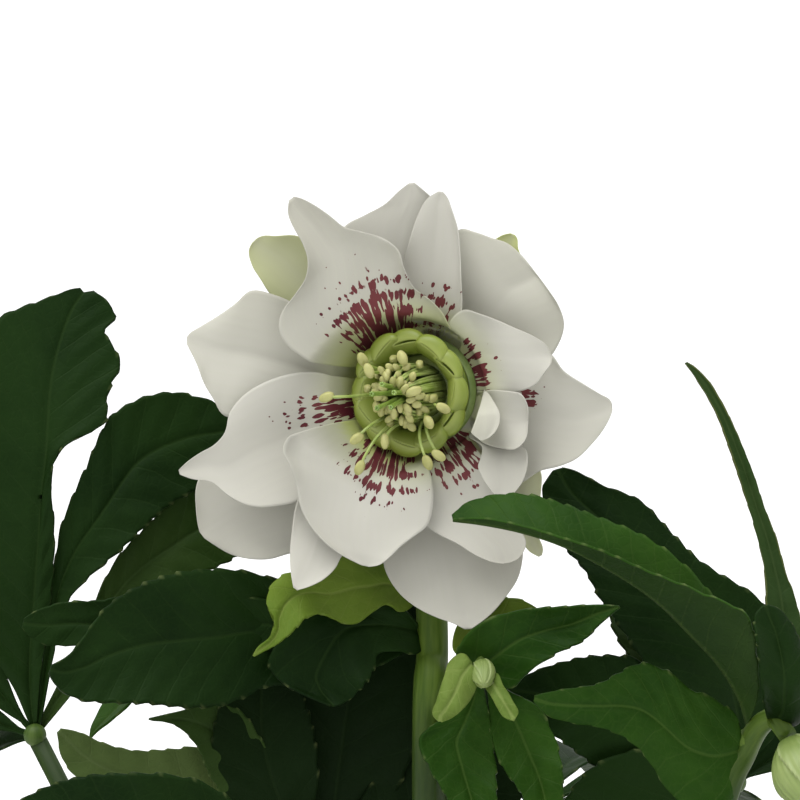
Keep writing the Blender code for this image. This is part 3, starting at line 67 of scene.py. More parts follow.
HUB_RADIUS = 9.5
HUB_THICKNESS = 4.0
HUB_DEPTH = -7.0
RING_GAP = 0.3
RING_THICKNESS = 1.0
SOIL_TOP = 114.0
STEM_HOLE_DEPTH = 14.0
BLUSHED_HEIGHTS = (190.0, 118.0)
# The stalks are painted darker lower down, as painted shade: it ramps in from the first height
# down to the second, up to this share.
SHADED_HEIGHTS = (284.0, 262.0)
SHADED_SHARE = 0.8
JUNCTION_RADIUS = 2.1
COARSE_GRID = (18, 56)
FINE_GRID = (30, 96)
TEPAL_GRID = (40, 64)
BLADE_START = 1.6
BLADE_FOOT = 0.55
TIP_SHARE = 0.985
LINE_STEPS = 160
KNOT_STEPS = 12
BLADE_THICKNESS = 0.45
TEPAL_THICKNESS = 0.12
MARGIN_LIFT = (0.5, 0.5)
TOOTH_PITCH = 3.4
TOOTH_PEAK = 0.78
TOOTH_DEPTH = 0.45
VEIN_SPACING = 5.5
VEIN_SLANT = 0.9
QUILT_DEPTH = 0.14
RIB_GROOVE = 0.4
LEAFLET_WAVE = 0.6


def seen(place):
    """A point of the front view as a place in the pot's frame."""
    right, up, toward = place
    nearer = 1.0 - toward / VIEW_DISTANCE
    return VIEW_MIDDLE + (ACROSS * right + UPWARD * up) * nearer + TOWARD * toward


def seen_direction(direction):
    right, up, toward = direction
    return (ACROSS * right + UPWARD * up + TOWARD * toward).normalized()


def bezier(points, t):
    start, bend, end = points
    return start * (1 - t) ** 2 + bend * (2 * t * (1 - t)) + end * t**2


def bezier_direction(points, t):
    start, bend, end = points
    return ((bend - start) * (1 - t) + (end - bend) * t).normalized()


def ease(x, low, high):
    """0 below low, 1 above high, and smooth between; falls where high is below low."""
    share = min(max((x - low) / (high - low), 0.0), 1.0)
    return share * share * (3.0 - 2.0 * share)


def smooth_between(stops, t):
    """The value at t of a list of (t, value), on a smooth curve that never passes a stop."""
    if t <= stops[0][0]:
        return stops[0][1]
    if t >= stops[-1][0]:
        return stops[-1][1]
    rises = [(end[1] - start[1]) / (end[0] - start[0]) for start, end in zip(stops, stops[1:])]
    slopes = [rises[0]]
    for before, after in zip(rises, rises[1:]):
        level = before * after <= 0.0
        slopes.append(0.0 if level else 2.0 * before * after / (before + after))
    slopes.append(rises[-1])
    for index, ((t0, v0), (t1, v1)) in enumerate(zip(stops, stops[1:])):
        if t <= t1:
            span = t1 - t0
            return hermite(v0, slopes[index] * span, v1, slopes[index + 1] * span, (t - t0) / span)
    return stops[-1][1]


def hermite(start, leaving, end, arriving, u):
    """Between two values with the slopes there, at u from 0 to 1."""
    return (
        start * (2 * u**3 - 3 * u**2 + 1)
        + leaving * (u**3 - 2 * u**2 + u)
        + end * (3 * u**2 - 2 * u**3)
        + arriving * (u**3 - u**2)
    )


def view_point(u, v, depth):
    """A place by its units across and down the front view, and its depth toward the viewer."""
    return seen(((u - VIEW_UNITS / 2) * UNIT, (VIEW_UNITS / 2 - v) * UNIT, depth))


def view_of(point):
    """The units across and down the front view of a place, and its depth."""
    off = point - VIEW_MIDDLE
    toward = off.dot(TOWARD)
    nearer = (1.0 - toward / VIEW_DISTANCE) * UNIT
    across = VIEW_UNITS / 2 + off.dot(ACROSS) / nearer
    down = VIEW_UNITS / 2 - off.dot(UPWARD) / nearer
    return Vector((across, down)), toward


def smooth_line(knots):
    """LINE_STEPS even steps along a smooth curve through the knots."""
    knots = [Vector(knot) for knot in knots]
    gaps = [(end - start).length for start, end in zip(knots, knots[1:])]
    ways = [(end - start) / gap for start, end, gap in zip(knots, knots[1:], gaps)]
    turns = [ways[0]]
    for index in range(1, len(gaps)):
        near, far = gaps[index - 1], gaps[index]
        turns.append((ways[index - 1] * far + ways[index] * near) / (near + far))
    turns.append(ways[-1])
    fine = []
    for index, gap in enumerate(gaps):
        for step in range(KNOT_STEPS):
            fine.append(hermite(knots[index], turns[index] * gap, knots[index + 1],
                                turns[index + 1] * gap, step / KNOT_STEPS))
    fine.append(knots[-1])
    reached = [0.0]
    for start, end in zip(fine, fine[1:]):
        reached.append(reached[-1] + (end - start).length)
    line = []
    on = 0
    for step in range(LINE_STEPS + 1):
        goal = reached[-1] * step / LINE_STEPS
        while on < len(fine) - 2 and reached[on + 1] < goal:
            on += 1
        share = (goal - reached[on]) / max(reached[on + 1] - reached[on], 1e-9)
        line.append(fine[on].lerp(fine[on + 1], min(max(share, 0.0), 1.0)))
    return line


def along_line(line, t):
    at = min(max(t, 0.0), 1.0) * LINE_STEPS
    on = min(int(at), LINE_STEPS - 1)
    return line[on].lerp(line[on + 1], at - on)


# Finishes


class Wire:
    """A socket of a finish, on which sums can be written."""

    def __init__(self, finish, socket):
        self.finish = finish
        self.socket = socket

    def sum(self, operation, first, second=None):
        return self.finish.node("ShaderNodeMath", {"operation": operation}, {0: first, 1: second})

    def __add__(self, other):
        return self.sum("ADD", self, other)

    __radd__ = __add__

    def __mul__(self, other):
        return self.sum("MULTIPLY", self, other)

    __rmul__ = __mul__

    def __sub__(self, other):
        return self.sum("SUBTRACT", self, other)

    def __rsub__(self, other):
        return self.sum("SUBTRACT", other, self)

    def __truediv__(self, other):
        return self.sum("DIVIDE", self, other)

    def size(self):
        return self.sum("ABSOLUTE", self)

    def wave(self):
        return self.sum("SINE", self)

    def part(self):
        return self.sum("FRACT", self)

    def rising(self, low, high):
        """0 below low, 1 above high; low may be the larger."""
        settings = {"interpolation_type": "SMOOTHSTEP", "clamp": True}
        if low < high:
            return self.finish.node("ShaderNodeMapRange", settings, {0: self, 1: low, 2: high})
        rise = self.finish.node("ShaderNodeMapRange", settings, {0: self, 1: high, 2: low})
        return 1.0 - rise


class Finish:
    """A material: one Principled shader with its constants, and the nodes that vary it."""

    def __init__(self, name, **constants):
        self.material = bpy.data.materials.new(name)
        self.material.use_nodes = True
        self.tree = self.material.node_tree
        self.shader = self.tree.nodes["Principled BSDF"]
        for socket, value in constants.items():
            self.shader.inputs[socket.replace("_", " ")].default_value = value

    def node(self, kind, settings=None, inputs=None, output=0):
        made = self.tree.nodes.new(kind)
        for name, value in (settings or {}).items():
            setattr(made, name, value)
        for name, value in (inputs or {}).items():
            if value is None:
                continue
            if isinstance(value, Wire):
                self.tree.links.new(value.socket, made.inputs[name])
            else:
                made.inputs[name].default_value = value
        return Wire(self, made.outputs[output])

    def place(self):
        return self.node("ShaderNodeTexCoord", output="Object")

    def mark(self, name):
        """A number painted on the piece's points."""
        return self.node("ShaderNodeAttribute", {"attribute_name": name}, output="Fac")

    def chart(self, name):
        """The two directions of one of the piece's charts, in millimetres."""
        where = self.node("ShaderNodeUVMap", {"uv_map": name})
        scaled = self.node("ShaderNodeVectorMath", {"operation": "SCALE"},
                           {0: where, "Scale": CHART_UNIT})
        return self.split(scaled)[:2]

    def split(self, where):
        """The three numbers of a place."""
        parts = self.tree.nodes.new("ShaderNodeSeparateXYZ")
        self.tree.links.new(where.socket, parts.inputs[0])
        return [Wire(self, socket) for socket in parts.outputs]

    def spot_at(self, x, y, z=0.0):
        return self.node("ShaderNodeCombineXYZ", None, {0: x, 1: y, 2: z})

    def noise(self, where, scale, detail=2.0, rough=0.5):
        return self.node("ShaderNodeTexNoise", None, {"Vector": where, "Scale": scale,
                                                      "Detail": detail, "Roughness": rough})

    def cells(self, where, scale, feature="F1"):
        """How far it is to the nearest of a scatter of cells, or to their edges."""
        return self.node("ShaderNodeTexVoronoi", {"feature": feature},
                         {"Vector": where, "Scale": scale}, "Distance")

    def blend(self, share, low, high):
        """Colours mixed by a share from 0 to 1."""
        made = self.tree.nodes.new("ShaderNodeMix")
        made.data_type = "RGBA"
        for slot, value in ((0, share), (6, low), (7, high)):
            if isinstance(value, Wire):
                self.tree.links.new(value.socket, made.inputs[slot])
            elif slot == 0:
                made.inputs[slot].default_value = value
            else:
                made.inputs[slot].default_value = (*value, 1.0)
        return Wire(self, made.outputs[2])

    def feed(self, socket, wire):
        self.tree.links.new(wire.socket, self.shader.inputs[socket])

    def relief(self, height, depth_mm, strength=1.0):
        bump = self.node("ShaderNodeBump", None, {"Height": height, "Distance": depth_mm * MM,
                                                  "Strength": strength})
        self.feed("Normal", bump)


def petal_finish(name):
    """Off-white tepal: faint veins, green toward its root, burgundy streaks and dots."""
    made = Finish(name, Roughness=0.6, Specular_IOR_Level=0.2)
    around, outward = made.chart("polar")
    across, along = made.chart("blade")
    spotted = made.mark("spotted")
    streaky = made.mark("streaky")
    tint_and_shade = made.mark("tint_and_shade")
    warp = made.noise(made.spot_at(around * 0.35, outward * 0.3), 1.0, 2.0) - 0.5
    streak_place = made.spot_at(around * 1.9 + warp * 1.4, outward * 0.32 + warp * 0.4)
    dot_place = made.spot_at(around * 1.7 + warp * 1.4, outward * 0.8)
    streaks = (spotted * 0.56 - made.cells(streak_place, 1.0)) * streaky
    dots = (spotted * 0.58 - made.cells(dot_place, 1.0)) * (1.0 - streaky)
    burgundy = (streaks.rising(0.0, 0.07) + dots.rising(0.0, 0.06)).rising(0.1, 0.8)
    veins = (across * 3.6 + made.noise(made.spot_at(across * 0.2, along * 0.08), 1.0) * 6.0).wave()
    mottle = made.noise(made.place(), 90.0, 3.0)
    broad = made.noise(made.place(), 35.0, 2.0)
    white = made.blend(broad.rising(0.3, 0.7), (0.385, 0.375, 0.325), (0.440, 0.430, 0.380))
    white = made.blend(veins.rising(0.6, 1.0) * 0.14, white, (0.42, 0.43, 0.34))
    green = made.blend(mottle, (0.36, 0.41, 0.10), (0.43, 0.47, 0.14))
    tinted = made.blend(tint_and_shade, white, green)
    wine = made.blend(mottle.rising(0.35, 0.65), (0.075, 0.010, 0.016), (0.125, 0.028, 0.030))
    made.feed("Base Color", made.blend(burgundy, tinted, wine))
    made.relief(veins * 0.25 + mottle, 0.05, 0.35)
    return made.material


def leaf_veins(made, spacing):
    """How far off the midrib, how near a forward-curving side vein, and how near the fine net."""
    across, along = made.chart("blade")
    off = across.size()
    wander = made.noise(made.spot_at(across * 0.12, along * 0.12), 1.0, 2.0)
    lead = (along - off * VEIN_SLANT + off * off * 0.02 + wander * 2.0) / spacing
    net = made.cells(made.spot_at(across + wander, along), 0.62, "DISTANCE_TO_EDGE")
    return off, (lead.part() - 0.5).size(), net


def leaf_finish(name, dark, light, vein, gloss, spacing=VEIN_SPACING, rim=(0.16, 0.19, 0.07),
                shown=1.0):
    """Upper side of a leaflet: midrib, forward-curving side veins, a fine net, pale teeth."""
    made = Finish(name, Roughness=gloss, Specular_IOR_Level=0.07,
                  Specular_Tint=(0.75, 1.0, 0.7, 1.0))
    off, side, net = leaf_veins(made, spacing)
    rib = off.rising(0.5, 0.12)
    side = side.rising(0.45, 0.497) * off.rising(0.1, 0.6)
    net = net.rising(0.10, 0.02)
    patches = made.noise(made.place(), 45.0, 4.0, 0.6)
    broad = made.noise(made.place(), 22.0, 2.0)
    base = made.blend((patches * 0.6 + broad * 0.4).rising(0.35, 0.65), dark, light)
    base = made.blend(net * 0.08 * shown, base, vein)
    base = made.blend(side * 0.18 * shown, base, vein)
    base = made.blend(rib * 0.45 * shown, base, vein)
    base = made.blend(made.mark("tooth"), base, rim)
    made.feed("Base Color", base)
    made.feed("Roughness", patches * 0.16 + (gloss - 0.06) + net * 0.05)
    made.relief(1.0 - (side * 0.6 + rib * 0.8 + net * 0.25) * shown + patches * 0.4, 0.2, 0.4)
    return made.material


def underside_finish(name, dark, light, vein=(0.09, 0.13, 0.05)):
    """Lower side of a leaflet: paler and matter, its veins standing proud."""
    made = Finish(name, Roughness=0.6, Specular_IOR_Level=0.1)
    off, side, net = leaf_veins(made, VEIN_SPACING)
    rib = off.rising(0.8, 0.25)
    side = side.rising(0.44, 0.497)
    net = net.rising(0.12, 0.02)
    patches = made.noise(made.place(), 60.0, 3.0)
    base = made.blend(patches.rising(0.3, 0.7), dark, light)
    veined = (rib * 0.6 + side * 0.28 + net * 0.14).rising(0.0, 1.2)
    made.feed("Base Color", made.blend(veined, base, vein))
    made.relief(rib + side * 0.7 + net * 0.3, 0.25, 0.5)
    return made.material


def stem_finish(name, dark, light, blush):
    """Ribbed green stem, darker green lower down as painted shade, blushed purple toward its foot.
    """
    made = Finish(name, Roughness=0.5, Specular_IOR_Level=0.2)
    around, along = made.chart("blade")
    ribs = (around * 3.0).wave()
    streak = made.noise(made.spot_at(around * 1.2, along * 0.12), 1.0, 3.0)
    base = made.blend(streak.rising(0.3, 0.7), dark, light)
    # Painted shade: the stalk is blended toward a dark green where it is marked low down.
    base = made.blend(made.mark("tint_and_shade"), base, (0.010, 0.026, 0.003))
    base = made.blend(made.mark("blush") * streak.rising(0.35, 0.65), base, blush)
    made.feed("Base Color", base)
    made.relief(ribs * 0.4 + streak, 0.15, 0.5)
    return made.material


def fleshy_finish(name, deep, pale, roughness, scale=400.0, sheen=0.0):
    """Small juicy parts of the bloom: mottled between two colours, lightly grained."""
    made = Finish(name, Roughness=roughness, Subsurface_Weight=0.15, Subsurface_Scale=0.0008,
                  Subsurface_Radius=(0.8, 1.0, 0.4), Specular_IOR_Level=0.45, Coat_Weight=sheen)
    mottle = made.noise(made.place(), scale, 3.0)
    made.feed("Base Color", made.blend(mottle.rising(0.3, 0.7), deep, pale))
    made.relief(made.noise(made.place(), scale * 4.0, 2.0), 0.08, 0.5)
    return made.material


# Modelling


def linked(name, shape):
    """A bmesh made an object of the scene."""
    mesh = bpy.data.meshes.new(name)
    shape.to_mesh(mesh)
    shape.free()
    made = bpy.data.objects.new(name, mesh)
    bpy.context.scene.collection.objects.link(made)
    return made


def finished(name, shape, finishes, node, thickness=0.0):
    """A bmesh made a smooth piece that stands in for a node and rides on the one body."""
    piece = linked(name, shape)
    piece.data.shade_smooth()
    for finish in finishes:
        piece.data.materials.append(finish)
    if thickness:
        solidify = piece.modifiers.new("thickness", "SOLIDIFY")
        solidify.thickness = thickness * MM
        solidify.offset = 0.0
        solidify.use_even_offset = False
        if len(finishes) > 1:
            solidify.material_offset = 1
    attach(piece, "root")
    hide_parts(node)


def blank():
    """An empty bmesh with the charts and marks that the finishes read."""
    shape = bmesh.new()
    for name in ("blade", "polar"):
        shape.loops.layers.uv.new(name)
    for name in ("spotted", "streaky", "tint_and_shade", "tooth", "blush"):
        shape.verts.layers.float.new(name)
    return shape


def grid_onto(shape, columns, rows, place, wrapped=False, index=0):
    """Adds a grid bent to place(s, t), which gives a point, its charts and its marks.

    s runs from -1 to 1 across and t from 0 to 1 along. A wrapped grid is closed round s.
    """
    made = bmesh.ops.create_grid(shape, x_segments=columns, y_segments=rows, size=1.0)
    vertices = made["verts"]
    layers = shape.verts.layers.float
    charts = {name: shape.loops.layers.uv[name] for name in ("blade", "polar")}
    where = {}
    for vertex in vertices:
        point, maps, marks = place(vertex.co.x, (vertex.co.y + 1.0) / 2.0)
        where[vertex] = maps
        for name, value in marks.items():
            vertex[layers[name]] = value
        vertex.co = point * MM
    for vertex in vertices:
        for loop in vertex.link_loops:
            for name, (u, v) in where[vertex].items():
                loop[charts[name]].uv = (u / CHART_UNIT, v / CHART_UNIT)
    for face in {face for vertex in vertices for face in vertex.link_faces}:
        face.material_index = index
    if wrapped:
        bmesh.ops.remove_doubles(shape, verts=vertices, dist=MERGE)


def tube_onto(shape, points, radii, around, from_soil=False):
    """A round tube with closed ends through the points; one from the soil has a blushed foot and
    painted shade low down.
    """
    count = len(points) - 1
    lengths = [0.0]
    for start, end in zip(points, points[1:]):
        lengths.append(lengths[-1] + (end - start).length)
    guide = Vector((0.31, 0.95, 0.02))

    def place(s, t):
        step = round(t * (count + 2)) - 1
        on = min(max(step, 0), count)
        ahead = points[min(on + 1, count)] - points[max(on - 1, 0)]
        along = ahead.normalized()
        side = along.cross(guide).normalized()
        up = along.cross(side)
        turn = math.pi * s
        radius = radii[on] if 0 <= step <= count else 0.0
        out = side * math.cos(turn) + up * math.sin(turn)
        marks = {}
        if from_soil:
            height = points[on].z
            # Painted shade: the stalk is marked to be blended darker green, up to SHADED_SHARE,
            # below SHADED_HEIGHTS.
            marks = {"blush": ease(height, *BLUSHED_HEIGHTS),
                     "tint_and_shade": SHADED_SHARE * ease(height, *SHADED_HEIGHTS)}
        return points[on] + out * radius, {"blade": (turn * radii[on], lengths[on])}, marks

    grid_onto(shape, around, count + 2, place, True)


def egg_onto(shape, centre, radii, axis, around=12, rings=10, index=0, groove=0.0):
    """An egg with its long axis along the given direction, with a groove down its sides."""
    turn = axis.normalized().to_track_quat("Z", "Y")

    def place(s, t):
        angle = math.pi * s
        lift = -math.cos(math.pi * t)
        wide = math.sin(math.pi * t) * (1.0 - groove * math.cos(angle * 2.0) ** 8)
        local = Vector((math.cos(angle) * wide * radii[0], math.sin(angle) * wide * radii[1],
                        lift * radii[2]))
        return turn @ local + centre, {"blade": (angle, t)}, {}

    grid_onto(shape, around, rings, place, True, index)


def curve_through(knots, steps):
    """Points along a smooth curve through the knots."""
    points = []
    for i in range(len(knots) - 1):
        before = knots[max(i - 1, 0)]
        start = knots[i]
        end = knots[i + 1]
        after = knots[min(i + 2, len(knots) - 1)]
        out = (end - before) * 0.5
        into = (after - start) * 0.5
        for step in range(steps):
            t = step / steps
            points.append(hermite(start, out, end, into, t))
    points.append(knots[-1])
    return points


# Leaves and bracts. A measured leaflet has its base, its tip and its two margins in the front
# view, b on the right hand of the way from base to tip; depth is toward the viewer along it, and
# lift raises its two margins, by MARGIN_LIFT where none is given. mid is its midrib where that
# isn't half way between them. A plain leaflet runs from base to tip, bent toward a middle place.

LEFT_BASE = (35, 735)
LEFT_JUNCTION = (-63.0, -58.0, -30.0)
LEFT_LEAF = [
    dict(at=LEFT_BASE, tip=(88, 287), depth=[(0, -30), (0.5, -24), (1, -30)],
         a=[(15, 690), (-15, 640), (-38, 560), (-45, 480), (-38, 400), (-20, 345), (0, 317),
            (25, 306), (50, 297), (72, 289)],
         b=[(40, 680), (48, 620), (54, 560), (54, 522), (51, 490), (54, 462), (68, 442),
            (88, 434), (108, 418), (107, 402), (113, 382), (121, 365), (115, 348), (105, 331),
            (116, 316), (106, 300)], mid=[(30, 690), (34, 601), (45, 470), (57, 353), (75, 305)]),
    dict(at=LEFT_BASE, tip=(262, 425), depth=[(0, -30), (0.5, -26), (1, -34)],
         a=[(45, 640), (55, 560), (62, 522), (74, 493), (88, 462), (97, 440), (112, 415),
            (130, 403), (150, 395), (175, 392), (200, 397), (228, 408)],
         b=[(52, 665), (70, 598), (95, 572), (118, 553), (142, 530), (170, 505), (205, 485),
            (238, 462)]),
    dict(at=LEFT_BASE, tip=(290, 500), depth=[(0, -31), (0.5, -30), (1, -36)], lift=(1.5, 0.5),
         finish="olive",
         a=[(80, 640), (118, 557), (150, 522), (176, 497), (205, 478), (245, 470)],
         b=[(95, 665), (125, 615), (160, 590), (195, 576), (228, 562), (262, 540)]),
    dict(base=LEFT_JUNCTION, bend=(-84.0, -34.0, -34.0), tip=(-92.0, 0.0, -44.0),
         width=10.0, widest=0.6, face=(-0.3, 0.1, 1.0), fold=0.15),
    dict(base=LEFT_JUNCTION, bend=(-86.0, -50.0, -34.0), tip=(-108.0, -40.0, -36.0),
         width=9.0, widest=0.6, face=(-0.2, 0.7, 0.7), fold=0.2),
    dict(base=LEFT_JUNCTION, bend=(-76.0, -60.0, -40.0), tip=(-94.0, -78.0, -46.0),
         width=8.0, widest=0.6, face=(-0.5, 0.6, 0.5), fold=0.2),
]

WHORL_BASE = (431, 637)
MAIN_BRACTS = [
    dict(at=WHORL_BASE, tip=(46, 668), depth=[(0, -12), (0.35, -8), (0.6, 0), (1, 8)],
         lift=(1.5, 0.5),
         a=[(400, 655), (340, 680), (300, 690), (270, 686), (250, 695), (225, 705), (190, 708),
            (150, 704), (110, 703), (80, 700), (58, 688)],
         b=[(400, 612), (340, 592), (300, 584), (270, 577), (240, 570), (210, 569), (180, 572),
            (130, 590), (105, 608), (85, 635), (68, 656)]),
    dict(at=WHORL_BASE, tip=(334, 707), depth=[(0, -12), (0.3, -8), (0.6, -4.5), (1, -2)],
         lift=(0.5, 1.0),
         a=[(420, 652), (398, 652), (378, 655), (373, 672), (360, 690), (346, 702)],
         b=[(400, 606), (350, 598), (302, 610), (276, 640), (269, 668), (286, 685), (310, 697)]),
    dict(at=WHORL_BASE, tip=(19, 622), depth=[(0, -12), (0.4, -6), (1, -2)],
         a=[(400, 648), (300, 648), (200, 652), (120, 650), (72, 646), (43, 644), (26, 633)],
         b=[(400, 625), (300, 604), (200, 594), (130, 594), (103, 600), (60, 603), (34, 612)]),
    dict(at=(429, 600), tip=(251, 657), depth=[(0, -13), (0.3, -6), (0.5, -1), (0.8, 4), (1, 8)],
         lift=(1.5, -0.5), finish="bract",
         a=[(402, 612), (385, 604), (371, 614), (358, 623), (340, 622), (322, 614), (306, 618),
            (292, 632), (276, 645), (263, 652)],
         b=[(400, 566), (370, 562), (341, 555), (320, 566), (298, 571), (280, 577), (269, 590),
            (267, 605), (274, 622), (270, 636), (258, 648)]),
]

MIDDLE_BASE = (480, 660)
MIDDLE_BRACTS = [
    dict(at=MIDDLE_BASE, tip=(622, 606), depth=[(0, -4), (0.4, 1), (1, 5)], lift=(1.5, 1.5),
         finish="mid",
         a=[(456, 654), (464, 638), (480, 625), (502, 614), (530, 609), (562, 607), (595, 605)],
         b=[(496, 686), (510, 688), (524, 678), (538, 665), (560, 652), (583, 641), (602, 622)]),
    dict(at=MIDDLE_BASE, tip=(546, 614), depth=[(0, -5), (0.5, -8), (1, -9)],
         finish="bract",
         a=[(454, 652), (456, 630), (472, 609), (494, 599), (522, 600)],
         b=[(488, 652), (508, 645), (532, 632)]),
    dict(at=MIDDLE_BASE, tip=(482, 862), depth=[(0, -5), (0.3, -2), (1, 4)], lift=(1.0, 1.0),
         finish="mid",
         a=[(486, 700), (492, 730), (496, 765), (496, 805), (491, 838)],
         b=[(462, 700), (440, 720), (419, 738), (428, 765), (448, 800), (466, 836)]),
    dict(at=MIDDLE_BASE, tip=(556, 856), depth=[(0, -5), (0.3, -1), (1, 5)], lift=(1.0, 1.0),
         finish="mid",
         a=[(508, 690), (534, 704), (552, 730), (561, 760), (563, 795), (561, 830)],
         b=[(488, 696), (490, 730), (500, 762), (520, 792), (540, 830)]),
]

RIGHT_BASE = (747, 741)
RIGHT_JUNCTION = (60.0, -59.0, 16.0)
RIGHT_BRACTS = [
    dict(at=RIGHT_BASE, tip=(447, 520), depth=[(0, 16), (0.3, 26), (0.7, 31), (1, 27)],
         lift=(5.0, -4.0), finish="mid",
         a=[(757, 700), (757, 655), (750, 620), (700, 592), (650, 572), (600, 550), (560, 537),
            (520, 525), (480, 518)],
         b=[(748, 690), (735, 640), (715, 600), (690, 570), (640, 534), (600, 518), (560, 503),
            (530, 495), (490, 496), (466, 504)],
         mid=[(741, 705), (718, 665), (690, 635), (660, 605), (600, 565), (560, 545), (520, 532),
              (480, 524)]),
    dict(at=RIGHT_BASE, tip=(531, 697), depth=[(0, 16), (0.4, 20), (1, 22)], lift=(-1.0, 0.5),
         finish="mid",
         a=[(738, 790), (715, 815), (690, 810), (668, 790), (652, 766), (638, 748), (618, 734),
            (598, 727), (570, 722), (545, 713)],
         b=[(737, 717), (716, 700), (690, 688), (662, 668), (640, 663), (618, 673), (600, 683),
            (575, 688), (550, 692)]),
    dict(at=(771, 716), tip=(682, 359), depth=[(0, 19), (0.15, 15), (0.5, 8), (1, 0)],
         lift=(0.3, 0.3), finish="plain",
         a=[(776, 680), (770, 640), (766, 600), (765, 575), (755, 530), (743, 490), (730, 450),
            (715, 411), (700, 385), (690, 370)],
         b=[(803, 680), (803, 640), (796, 600), (785, 570), (777, 540), (765, 508), (753, 472),
            (740, 440), (722, 403), (706, 378), (693, 366)]),
    dict(at=(764, 731), tip=(764, 605), depth=[(0, 18), (0.4, 30), (1, 31)], lift=(2.0, -2.0),
         a=[(767, 716), (762, 690), (759, 660), (756, 635), (755, 616)],
         b=[(800, 722), (808, 690), (802, 650), (790, 622), (776, 608)]),
    dict(base=RIGHT_JUNCTION, bend=(80.0, -44.0, 12.0), tip=(98.0, -60.0, 6.0),
         width=9.0, widest=0.5, face=(0.2, 0.9, 0.3), fold=0.2),
]

BACK_RIGHT_BASE = (735, 782)
BACK_RIGHT_JUNCTION = (58.0, -66.0, -24.0)
BACK_RIGHT_LEAF = [
    dict(at=BACK_RIGHT_BASE, tip=(556, 466), depth=[(0, -24), (0.5, -14), (1, -20)],
         a=[(700, 740), (668, 700), (645, 665), (618, 625), (600, 600), (583, 568), (562, 545),
            (545, 512), (543, 486)],
         b=[(785, 720), (795, 660), (772, 612), (748, 590), (733, 581), (700, 560), (670, 530),
            (640, 500), (600, 484), (576, 471)]),
    dict(at=BACK_RIGHT_BASE, tip=(642, 590), depth=[(0, -25), (0.5, -22), (1, -28)],
         finish="olive",
         a=[(690, 752), (655, 722), (640, 692), (634, 664), (618, 640), (610, 612), (622, 594)],
         b=[(725, 730), (712, 690), (690, 652), (668, 622), (655, 602)]),
    dict(at=BACK_RIGHT_BASE, tip=(505, 690), depth=[(0, -24), (0.5, -18), (1, -22)],
         a=[(700, 800), (650, 800), (600, 770), (560, 740), (525, 712)],
         b=[(705, 740), (665, 690), (640, 660), (600, 655), (555, 664), (525, 676)]),
    dict(base=BACK_RIGHT_JUNCTION, bend=(84.0, -48.0, -30.0), tip=(98.0, -44.0, -40.0),
         width=9.5, widest=0.5, face=(0.3, 0.7, 0.6), fold=0.2),
    dict(at=BACK_RIGHT_BASE, tip=(566, 860), depth=[(0, -24), (0.5, -16), (1, -12)],
         a=[(715, 830), (680, 880), (640, 890), (600, 880)],
         b=[(690, 770), (640, 750), (595, 765), (565, 800), (556, 835)]),
]

CENTRE_BASE = (319, 874)
CENTRE_JUNCTION = (-14.0, -82.0, -26.0)
CENTRE_LEAF = [
    dict(at=CENTRE_BASE, tip=(385, 570), depth=[(0, -26), (0.5, -19), (1, -24)],
         finish="deep",
         a=[(300, 820), (278, 760), (272, 700), (290, 640), (335, 595)],
         b=[(368, 830), (405, 775), (424, 710), (424, 640), (410, 592)]),
    dict(at=CENTRE_BASE, tip=(262, 645), depth=[(0, -26), (0.5, -14), (1, -16)],
         finish="deep",
         a=[(275, 840), (225, 790), (212, 745), (222, 700), (240, 665)],
         b=[(315, 825), (318, 765), (305, 700), (285, 662)]),
    dict(at=CENTRE_BASE, tip=(145, 719), depth=[(0, -26), (0.5, -15), (1, -13)],
         finish="olive",
         a=[(275, 862), (236, 815), (208, 772), (198, 748), (176, 726)],
         b=[(300, 812), (265, 745), (236, 708), (205, 705), (174, 713)]),
    dict(at=CENTRE_BASE, tip=(56, 728), depth=[(0, -26), (0.5, -20), (1, -18)],
         finish="pale",
         a=[(260, 872), (200, 840), (140, 815), (90, 790), (62, 758)],
         b=[(285, 812), (240, 764), (206, 747), (170, 749), (130, 750), (100, 742), (78, 732)]),
    dict(at=CENTRE_BASE, tip=(505, 676), depth=[(0, -26), (0.5, -20), (1, -30)],
         finish="deep",
         a=[(350, 815), (398, 750), (430, 705), (465, 680)],
         b=[(400, 875), (480, 835), (535, 780), (550, 730), (535, 695)]),
]

FRONT_LEFT_BASE = (273, 886)
FRONT_LEFT_JUNCTION = (-22.0, -84.0, 16.0)
FRONT_LEFT_LEAF = [
    dict(at=FRONT_LEFT_BASE, tip=(-26, 836), depth=[(0, 16), (0.5, 24), (1, 22)],
         lift=(0.5, 0.0),
         a=[(230, 900), (150, 896), (80, 882), (20, 862)],
         b=[(250, 835), (225, 795), (200, 781), (165, 774), (130, 773), (90, 775), (50, 785),
            (20, 800), (-6, 818)]),
    dict(base=FRONT_LEFT_JUNCTION, bend=(-40.0, -82.0, 38.0), tip=(-62.0, -104.0, 42.0),
         width=10.0, widest=0.5, face=(-0.2, 0.8, 0.6), fold=0.15),
    dict(base=FRONT_LEFT_JUNCTION, bend=(-26.0, -82.0, 44.0), tip=(-36.0, -112.0, 60.0),
         width=10.5, widest=0.5, face=(-0.1, 0.7, 0.7), fold=0.15),
    dict(base=FRONT_LEFT_JUNCTION, bend=(-10.0, -84.0, 36.0), tip=(-6.0, -116.0, 50.0),
         width=9.0, widest=0.5, face=(0.1, 0.7, 0.7), fold=0.15),
    dict(base=FRONT_LEFT_JUNCTION, bend=(-50.0, -76.0, 8.0), tip=(-80.0, -94.0, 4.0),
         width=7.0, widest=0.5, face=(-0.3, 0.9, 0.2), fold=0.15),
]

